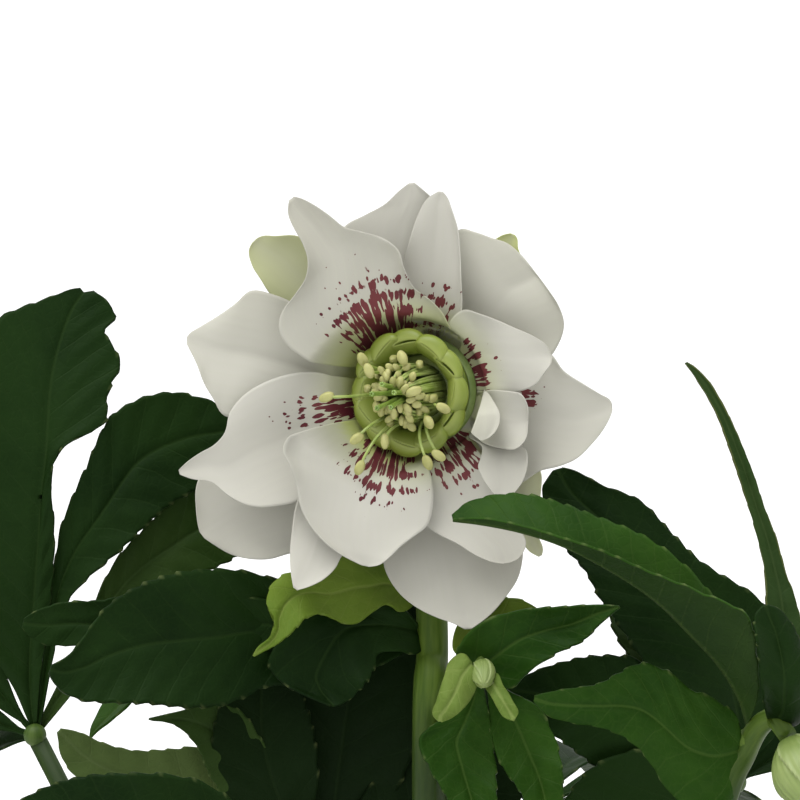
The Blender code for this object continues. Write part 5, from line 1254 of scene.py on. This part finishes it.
def build_nectaries():
    """Green pouches merged in a ring, closed over by two lips each; a few stand slightly open."""
    shape = blank()
    base = HUB_DEPTH + RING_GAP
    ring_onto(shape, 6.5, 8.7, base, 48)
    draw = random.Random(5)
    for index in range(NECTARY_COUNT):
        turn = 2.0 * math.pi * (index + draw.uniform(-0.12, 0.12)) / NECTARY_COUNT
        ray = bloom_ring_point(1.0, turn, 0.0) - BLOOM_CENTRE
        tangent = BLOOM_AXIS.cross(ray)
        foot = bloom_ring_point(NECTARY_RING_RADIUS, turn, base + 0.5)
        tall = NECTARY_HEIGHT + draw.uniform(-0.7, 0.3)
        slit = draw.uniform(0.10, 0.24) if index in OPEN_NECTARIES else CLOSED_SLIT
        skew = draw.uniform(-0.35, 0.35)

        def place(s, t, foot=foot, ray=ray, tangent=tangent, tall=tall, slit=slit, skew=skew):
            angle = math.pi * s
            outer, aside = math.cos(angle), math.sin(angle)
            outer = math.copysign(abs(outer) ** 0.6, outer)
            climb = min(t / NECTARY_BODY_END, 1.0)
            over = min(max((t - NECTARY_BODY_END) / 0.33, 0.0), 1.0)
            sunk = max((t - NECTARY_LIPS_END) / 0.22, 0.0)
            deep = 0.9 + 1.4 * climb**1.2
            wide = 1.0 + 2.4 * climb**0.8
            deep = slit + (deep - slit) * math.cos(over * math.pi / 2.0)
            wide = 2.1 + (wide - 2.1) * math.cos(over * math.pi / 2.0)
            height = tall * (0.80 * climb + 0.20 * math.sin(over * math.pi / 2.0) - 0.12 * sunk)
            height -= 1.6 * climb * max(0.0, -outer) * deep / 2.3
            if t < 0.001 or t > 0.999:
                deep = wide = 0.0
            away = outer * deep + NECTARY_LEAN * climb**1.5 - 0.05 * (aside * wide) ** 2
            out = ray * (away + skew * aside * wide * over)
            lips = ease(over, 0.5, 0.9)
            point = foot + out + tangent * (aside * wide) + BLOOM_AXIS * height
            return point, {"blade": (angle, climb)}, {"tint_and_shade": lips, "blush": sunk}

        grid_onto(shape, 32, 36, place, True)
    finished("nectary_cup", shape, [cup_finish()], "bloom_nectaries")


def cup_finish():
    """Smooth yellow-green, deeper low down, with paler lips."""
    made = Finish("nectary_green", Roughness=0.4, Subsurface_Weight=0.2, Subsurface_Scale=0.001,
                  Subsurface_Radius=(0.8, 1.0, 0.4), Specular_IOR_Level=0.35)
    _, climb = made.chart("blade")
    mottle = made.noise(made.place(), 250.0, 2.0)
    base = made.blend(climb.rising(0.3, 1.0), (0.110, 0.155, 0.015), (0.165, 0.210, 0.028))
    base = made.blend(mottle.rising(0.4, 0.7) * 0.3, base, (0.21, 0.25, 0.04))
    base = made.blend(made.mark("tint_and_shade") * 0.6, base, (0.26, 0.30, 0.08))
    made.feed("Base Color", made.blend(made.mark("blush"), base, (0.12, 0.17, 0.018)))
    made.relief(mottle, 0.05, 0.4)
    return made.material


def build_stamens():
    """Filaments bent out of a ring, each with a two-lobed anther."""
    shape = blank()
    base = HUB_DEPTH + RING_GAP
    ring_onto(shape, 2.9, 6.2, base, 40)
    draw = random.Random(3)
    ends = [front_point(*place) for place in LONG_STAMENS]
    sizes = [(0.80, 0.95, 1.40)] * len(ends)
    for index in range(STAMENS_SEEDED):
        turn = 2.0 * math.pi * (index + draw.uniform(-0.2, 0.2)) / STAMENS_SEEDED
        ends.append(bloom_ring_point(draw.uniform(4.4, 6.6), turn, draw.uniform(1.0, 4.0)))
        sizes.append((0.75, 0.8, 1.1))
    more = random.Random(21)
    for index in range(SMALL_STAMENS):
        turn = 2.0 * math.pi * (index + more.uniform(-0.3, 0.3)) / SMALL_STAMENS
        radius = 2.2 + 3.0 * more.random()
        ends.append(bloom_ring_point(radius, turn, 7.4 - 0.7 * radius + more.uniform(-0.8, 0.8)))
        sizes.append((0.62, 0.70, 1.0))
    for end, size in zip(ends, sizes):
        flat = end - BLOOM_CENTRE
        turn = math.atan2(flat.dot(BLOOM_UP), flat.dot(BLOOM_RIGHT))
        low = bloom_ring_point(4.6, turn, base + 0.5)
        bend = bloom_ring_point(4.9, turn, max(4.0, flat.dot(BLOOM_AXIS)))
        spine = [low, bend, end]
        points = [bezier(spine, step / 8.0) for step in range(9)]
        tube_onto(shape, points, [0.34 - 0.012 * step for step in range(9)], 8)
        twist = Vector((more.uniform(-0.5, 0.5), more.uniform(-0.5, 0.5), more.uniform(-0.5, 0.5)))
        egg_onto(shape, end, size, bezier_direction(spine, 1.0) + twist, 14, 10, 1, 0.22)
    thread = fleshy_finish("filament_green", (0.20, 0.27, 0.05), (0.30, 0.36, 0.11), 0.4)
    cream = fleshy_finish("anther_cream", (0.27, 0.27, 0.085), (0.40, 0.39, 0.15), 0.5, 300.0)
    finished("stamen_ring", shape, [thread, cream], "bloom_stamens")


def build_carpels():
    """Green carpels that taper into styles, with glistening stigmas."""
    shape = blank()
    base = HUB_DEPTH + RING_GAP
    top = base + RING_THICKNESS
    seat = [(0.0, top), (2.3, top), (2.3, base), (0.0, base)]
    lathe_onto(shape, seat, 24)
    for index in range(CARPELS):
        turn = 2.0 * math.pi * index / CARPELS + 0.4
        style = [(1.0, base + 0.4), (1.15, -3.0), (1.3, 3.0), (1.6, 7.0), (2.2, 10.5)]
        knots = [bloom_ring_point(radius, turn, height) for radius, height in style]
        points = curve_through(knots, 6)
        last = len(points) - 1
        sizes = [smooth_between([(0, 0.9), (0.25, 1.15), (0.5, 0.8), (0.75, 0.4), (1, 0.45)],
                                i / last) for i in range(last + 1)]
        tube_onto(shape, points, sizes, 12)
        for bead in range(STIGMA_BEADS):
            spin = 2.0 * math.pi * bead / STIGMA_BEADS
            off = bloom_ring_point(0.3, spin, 0.0) - BLOOM_CENTRE
            egg_onto(shape, knots[-1] + off, (STIGMA_BEAD_RADIUS,) * 3, BLOOM_AXIS, 8, 6, 1)
    green = fleshy_finish("carpel_green", (0.13, 0.21, 0.025), (0.22, 0.31, 0.06), 0.35)
    wet = fleshy_finish("stigma_wet", (0.13, 0.22, 0.03), (0.24, 0.34, 0.08), 0.2, 900.0, 0.3)
    finished("carpel_group", shape, [green, wet], "bloom_carpels")


# Buds

BUD_TEPALS = 5
BUD_SPIRAL = 0.8
BUD_EDGE = 0.14
BUDS = {
    "bud_right": dict(at=(67.6, -59.0, 24.2), hang=(0.3, -0.75, 0.6), length=15.0, radius=5.6),
    "bud_middle": dict(at=(14.3, -45.6, 0.3), hang=(0.0, -0.45, 0.9), length=7.0, radius=2.3),
}
BACK_BUD = dict(at=(-35.6, 59.4, 274.8), hang=(0.15, 0.8, -0.6), length=15.0, radius=6.0)
BUD_BRACTS = [
    dict(at=(481, 664), tip=(440, 722), depth=[(0, 3), (0.3, 5), (0.7, 8), (1, 7)],
         lift=(-1.5, -2.0), toothed=0.1,
         a=[(478, 678), (474, 692), (466, 705), (454, 716)],
         b=[(463, 654), (450, 662), (443, 681), (437, 701), (433, 714)]),
    dict(at=(486, 668), tip=(514, 721), depth=[(0, 3), (0.4, 6), (1, 9)], lift=(-1.2, -1.2),
         toothed=0.0,
         a=[(496, 674), (504, 687), (512, 700), (518, 713)],
         b=[(485, 682), (491, 696), (498, 708), (505, 718)]),
]


def bud_swell(t):
    return math.sin(math.pi * min(1.0, 0.06 + 0.9 * t)) ** 0.62 * (1.0 - 0.25 * t)


def bud_onto(shape, start, along, length, radius):
    """A closed bud whose tepals overlap round it, each lifting off the next at its edge."""
    side = along.orthogonal().normalized()
    up = along.cross(side)

    def place(s, t):
        turn = math.pi * s
        step = ((turn + BUD_SPIRAL * t) / (2.0 * math.pi) * BUD_TEPALS) % 1.0
        ends = 0.0 if t < 0.001 or t > 0.999 else 1.0
        vein = 0.012 * math.sin(turn * 30.0 + t * 4.0)
        reach = radius * bud_swell(t) * (1.0 + BUD_EDGE * step + vein) * ends
        out = side * math.cos(turn) + up * math.sin(turn)
        point = start + along * (length * t) + out * reach
        marks = {"tint_and_shade": ease(t, 0.55, 0.0), "tooth": ease(step, 0.86, 0.99)}
        return point, {"blade": (turn * radius, length * t)}, marks

    grid_onto(shape, 120, 48, place, True)


def bud_finish(name, deep, pale):
    """Greenish white bud: green at the stalk, veined, paler at the edge of each tepal."""
    made = Finish(name, Roughness=0.5, Subsurface_Weight=0.15, Subsurface_Scale=0.001,
                  Subsurface_Radius=(0.9, 1.0, 0.5), Specular_IOR_Level=0.4)
    around, along = made.chart("blade")
    veins = (around * 4.0 + made.noise(made.spot_at(around * 0.3, along * 0.1), 1.0) * 4.0).wave()
    mottle = made.noise(made.place(), 150.0, 3.0)
    base = made.blend(mottle.rising(0.3, 0.7) * 0.6 + made.mark("tint_and_shade") * 0.4, pale, deep)
    base = made.blend(veins.rising(0.3, 1.0) * 0.18, base, deep)
    base = made.blend(made.mark("tooth") * 0.4, base, (0.42, 0.47, 0.25))
    made.feed("Base Color", base)
    made.relief(veins, 0.08, 0.4)
    return made.material


def build_buds():
    pale = bud_finish("bud_green", (0.12, 0.18, 0.035), (0.22, 0.28, 0.09))
    soft = leaf_finish("bud_bract", (0.070, 0.120, 0.018), (0.135, 0.185, 0.040),
                       (0.21, 0.26, 0.08), 0.5, 3.5)
    soft_under = underside_finish("bud_bract_under", (0.11, 0.16, 0.04), (0.17, 0.22, 0.06))
    for name, bud in BUDS.items():
        shape = blank()
        bud_onto(shape, seen(bud["at"]), seen_direction(bud["hang"]), bud["length"], bud["radius"])
        finished(name + "_tepals", shape, [pale], name)
    shape = blank()
    for blade in BUD_BRACTS:
        grid_onto(shape, 18, 40, lambda s, t, one=blade: blade_place(one, s, t))
    finished("bud_middle_bracts", shape, [soft, soft_under], "bud_middle",
             BLADE_THICKNESS)
    shape = blank()
    bud_onto(shape, Vector(BACK_BUD["at"]), Vector(BACK_BUD["hang"]).normalized(),
             BACK_BUD["length"], BACK_BUD["radius"])
    finished("bud_back_tepals", shape, [pale], "bud_back")


# Pot and soil

POT_HEIGHT = 130.0
POT_TOP_RADIUS = 85.0
POT_FOOT_RADIUS = 62.0
POT_WALL = 1.6
RIM_HEIGHT = 14.0
RIM_PROUD = 2.2
FOOT_HEIGHT = 3.0
FLOOR_THICKNESS = 2.2
DRAIN_HOLES = 8
DRAIN_HOLE_RADIUS = 5.0
DRAIN_RING_RADIUS = 45.0
SOIL_CROWN_RISE = 4.0
SOIL_GAP = 0.3
SOIL_RINGS = 46
SOIL_CRUMBS = 420
CRUMB_SPREAD = 76.0
POT_TURN_STEPS = 160
DRAIN_CUTTER_LENGTH = 20.0


def pot_radius(height):
    return POT_FOOT_RADIUS + (POT_TOP_RADIUS - RIM_PROUD - POT_FOOT_RADIUS) * height / POT_HEIGHT


def build_pot():
    """The moulded pot, turned from its outline, with its drainage holes cut."""
    rim_low = POT_HEIGHT - RIM_HEIGHT
    top = POT_TOP_RADIUS
    outline = [
        (top - POT_WALL - 0.6, POT_HEIGHT - 0.3), (top - POT_WALL * 0.5 - 0.6, POT_HEIGHT),
        (top - 0.6, POT_HEIGHT - 0.3), (top - 0.1, POT_HEIGHT - 0.9), (top, POT_HEIGHT - 2.0),
        (top, rim_low + 0.6), (top - 0.2, rim_low), (pot_radius(rim_low) + 0.5, rim_low - 0.2),
        (pot_radius(rim_low), rim_low - 0.9), (pot_radius(60.0), 60.0),
        (pot_radius(6.0), 6.0), (pot_radius(4.0) - 0.3, 3.0), (POT_FOOT_RADIUS - 0.6, 1.0),
        (POT_FOOT_RADIUS - 1.4, 0.2), (POT_FOOT_RADIUS - 2.2, 0.0), (POT_FOOT_RADIUS - 3.6, 0.0),
        (POT_FOOT_RADIUS - 4.4, 0.5), (POT_FOOT_RADIUS - 4.8, FOOT_HEIGHT),
        (DRAIN_RING_RADIUS - 14.0, FOOT_HEIGHT), (DRAIN_RING_RADIUS - 15.2, 0.4),
        (DRAIN_RING_RADIUS - 15.8, 0.0), (0.0, 0.0),
        (0.0, FOOT_HEIGHT + FLOOR_THICKNESS),
        (pot_radius(FOOT_HEIGHT) - POT_WALL - 1.0, FOOT_HEIGHT + FLOOR_THICKNESS),
        (pot_radius(8.0) - POT_WALL, 8.0), (pot_radius(rim_low) - POT_WALL, rim_low),
        (top - POT_WALL - 1.4, rim_low + 1.2),
    ]
    shape = blank()
    corners = [shape.verts.new((radius * MM, 0.0, height * MM)) for radius, height in outline]
    for start, end in zip(corners, corners[1:] + corners[:1]):
        shape.edges.new((start, end))
    bmesh.ops.spin(shape, geom=shape.verts[:] + shape.edges[:], cent=(0, 0, 0), axis=(0, 0, 1),
                   angle=2.0 * math.pi, steps=POT_TURN_STEPS, use_merge=True)
    bmesh.ops.remove_doubles(shape, verts=shape.verts, dist=MERGE)
    bmesh.ops.recalc_face_normals(shape, faces=shape.faces)
    pot = linked("pot_turned", shape)
    shape = bmesh.new()
    for index in range(DRAIN_HOLES):
        turn = 2.0 * math.pi * (index + 0.5) / DRAIN_HOLES
        hole = bmesh.ops.create_cone(shape, cap_ends=True, segments=32,
                                     depth=DRAIN_CUTTER_LENGTH * MM,
                                     radius1=DRAIN_HOLE_RADIUS * MM,
                                     radius2=DRAIN_HOLE_RADIUS * MM)
        at = Vector((math.cos(turn), math.sin(turn), 0.0)) * (DRAIN_RING_RADIUS * MM)
        bmesh.ops.translate(shape, verts=hole["verts"], vec=at)
    holes = linked("drain_holes", shape)
    cut = pot.modifiers.new("drain_holes", "BOOLEAN")
    cut.operation = "DIFFERENCE"
    cut.object = holes
    cut.solver = "EXACT"
    graph = bpy.context.evaluated_depsgraph_get()
    mesh = bpy.data.meshes.new_from_object(pot.evaluated_get(graph))
    mesh.name = "pot_body"
    bpy.data.objects.remove(pot)
    bpy.data.objects.remove(holes)
    mesh.materials.clear()
    mesh.materials.append(pot_finish())
    mesh.shade_smooth()
    mesh.set_sharp_from_angle(angle=math.radians(40.0))
    pot = bpy.data.objects.new("pot_body", mesh)
    bpy.context.scene.collection.objects.link(pot)
    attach(pot, "root")
    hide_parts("pot")


def pot_finish():
    """Black recycled plastic: slight flow marks and dusty low down."""
    made = Finish("pot_plastic", Roughness=0.55, Specular_IOR_Level=0.4)
    where = made.place()
    height = made.split(where)[2] * (1.0 / MM)
    grain = made.noise(where, 900.0, 2.0)
    clouds = made.noise(where, 22.0, 4.0, 0.6)
    low = clouds.rising(0.45, 0.8) * height.rising(60.0, 4.0)
    dust = low * 0.5 + clouds.rising(0.6, 0.8) * 0.15
    base = made.blend(clouds, (0.010, 0.011, 0.012), (0.018, 0.018, 0.019))
    made.feed("Base Color", made.blend(dust, base, (0.075, 0.066, 0.055)))
    made.feed("Roughness", clouds * 0.2 + 0.42 + dust * 0.2)
    rings = (height * 0.9).wave() * 0.25
    made.relief(grain + rings + clouds, 0.12, 0.5)
    return made.material


def soil_finish():
    """Moist peat and fine bark: dark brown with lighter fibres."""
    made = Finish("potting_soil", Roughness=0.95, Specular_IOR_Level=0.2)
    where = made.place()
    crumbs = made.noise(where, 500.0, 5.0, 0.7)
    clods = made.cells(where, 260.0)
    base = made.blend(crumbs.rising(0.35, 0.65), (0.018, 0.011, 0.007), (0.060, 0.036, 0.022))
    base = made.blend(clods.rising(0.5, 0.75) * 0.5, base, (0.11, 0.075, 0.045))
    made.feed("Base Color", base)
    made.relief(crumbs + clods * 0.5, 0.8, 1.0)
    return made.material


def build_soil():
    """The fill of the pot: an uneven crown with crumbs and bark lying on it."""
    floor = FOOT_HEIGHT + FLOOR_THICKNESS + SOIL_GAP
    wall = POT_WALL + SOIL_GAP + 0.3
    shape = blank()

    def crown(x, y):
        radius = math.hypot(x, y)
        rise = SOIL_CROWN_RISE * ease(radius, 78.0, 0.0)
        lumps = noise.noise(Vector((x * 0.09, y * 0.09, 0.0))) * 2.2
        lumps += noise.noise(Vector((x * 0.35, y * 0.35, 7.0))) * 1.0
        return SOIL_TOP + rise + lumps * ease(radius, 80.0, 70.0) - 0.6

    def place(s, t):
        turn = math.pi * s
        step = round(t * (SOIL_RINGS + 2))
        if step <= 1:
            radius = 0.0 if step == 0 else pot_radius(floor) - wall - 2.1
            height = floor
        elif step == 2:
            radius = pot_radius(SOIL_TOP - 3.0) - wall
            height = SOIL_TOP - 3.0
        else:
            radius = (pot_radius(SOIL_TOP) - wall - 0.5) * (1.0 - (step - 3) / (SOIL_RINGS - 1))
            height = crown(radius * math.cos(turn), radius * math.sin(turn))
        x, y = radius * math.cos(turn), radius * math.sin(turn)
        return Vector((x, y, height)), {"blade": (x, y)}, {}

    grid_onto(shape, 150, SOIL_RINGS + 2, place, True)
    draw = random.Random(11)
    for index in range(SOIL_CRUMBS):
        radius = CRUMB_SPREAD * math.sqrt(draw.random())
        turn = draw.uniform(-math.pi, math.pi)
        x, y = radius * math.cos(turn), radius * math.sin(turn)
        size = draw.uniform(0.5, 1.3) if index % 6 else draw.uniform(1.4, 2.6)
        lump = bmesh.ops.create_icosphere(shape, subdivisions=1, radius=1.0)
        stretch = Vector((draw.uniform(0.7, 1.6), draw.uniform(0.6, 1.1), draw.uniform(0.4, 0.8)))
        up = Vector((draw.uniform(-0.4, 0.4), draw.uniform(-0.4, 0.4), 1.0))
        spin = up.to_track_quat("Z", "Y")
        around = draw.uniform(0.0, 2.0 * math.pi)
        at = Vector((x, y, crown(x, y) + size * 0.2))
        for vertex in lump["verts"]:
            p = vertex.co.copy()
            p = Vector((p.x * stretch.x, p.y * stretch.y, p.z * stretch.z)) * size
            p = p * (1.0 + 0.3 * noise.noise(p * 1.7 + at))
            p = Vector((p.x * math.cos(around) - p.y * math.sin(around),
                        p.x * math.sin(around) + p.y * math.cos(around), p.z))
            vertex.co = (spin @ p + at) * MM
    finished("soil_fill", shape, [soil_finish()], "soil")


# Studio


def build_studio():
    scene = bpy.context.scene
    shape = bmesh.new()
    bmesh.ops.create_grid(shape, x_segments=1, y_segments=1, size=40.0)
    floor = linked("floor", shape)
    pale = Finish("floor_pale", Roughness=0.9, Specular_IOR_Level=0.1,
                  Base_Color=(0.93, 0.93, 0.93, 1.0))
    floor.data.materials.append(pale.material)
    world = bpy.data.worlds.new("studio")
    scene.world = world
    world.use_nodes = True
    tree = world.node_tree
    back = tree.nodes["Background"]
    where = tree.nodes.new("ShaderNodeTexCoord")
    split = tree.nodes.new("ShaderNodeSeparateXYZ")
    ramp = tree.nodes.new("ShaderNodeMapRange")
    tree.links.new(where.outputs["Generated"], split.inputs[0])
    tree.links.new(split.outputs[2], ramp.inputs[0])
    ramp.inputs[1].default_value = 0.0
    ramp.inputs[2].default_value = 1.0
    ramp.inputs[3].default_value = 0.55
    ramp.inputs[4].default_value = 1.75
    tree.links.new(ramp.outputs[0], back.inputs["Strength"])
    back.inputs["Color"].default_value = (1.0, 1.0, 1.0, 1.0)

    def lamp(name, at, aim, size, watts):
        light = bpy.data.lights.new(name, "AREA")
        light.shape = "DISK"
        light.size = size
        light.energy = watts
        made = bpy.data.objects.new(name, light)
        scene.collection.objects.link(made)
        made.location = at
        made.rotation_euler = (Vector(aim) - Vector(at)).to_track_quat("-Z", "Y").to_euler()

    lamp("overhead", (-0.35, -0.35, 1.35), (0.0, -0.02, 0.30), 0.7, 9.0)

    camera = bpy.data.cameras.new("camera")
    camera.sensor_fit = "HORIZONTAL"
    camera.sensor_width = 36.0
    camera.lens = 36.0 * VIEW_DISTANCE / VIEW_WIDTH
    camera.clip_end = 200.0
    made = bpy.data.objects.new("camera", camera)
    scene.collection.objects.link(made)
    made.location = (VIEW_MIDDLE + TOWARD * VIEW_DISTANCE) * MM
    made.rotation_euler = (-TOWARD).to_track_quat("-Z", "Y").to_euler()
    scene.camera = made
    scene.view_settings.view_transform = "Standard"


build_studio()
build_foliage()
build_bloom()
build_buds()
build_pot()
build_soil()
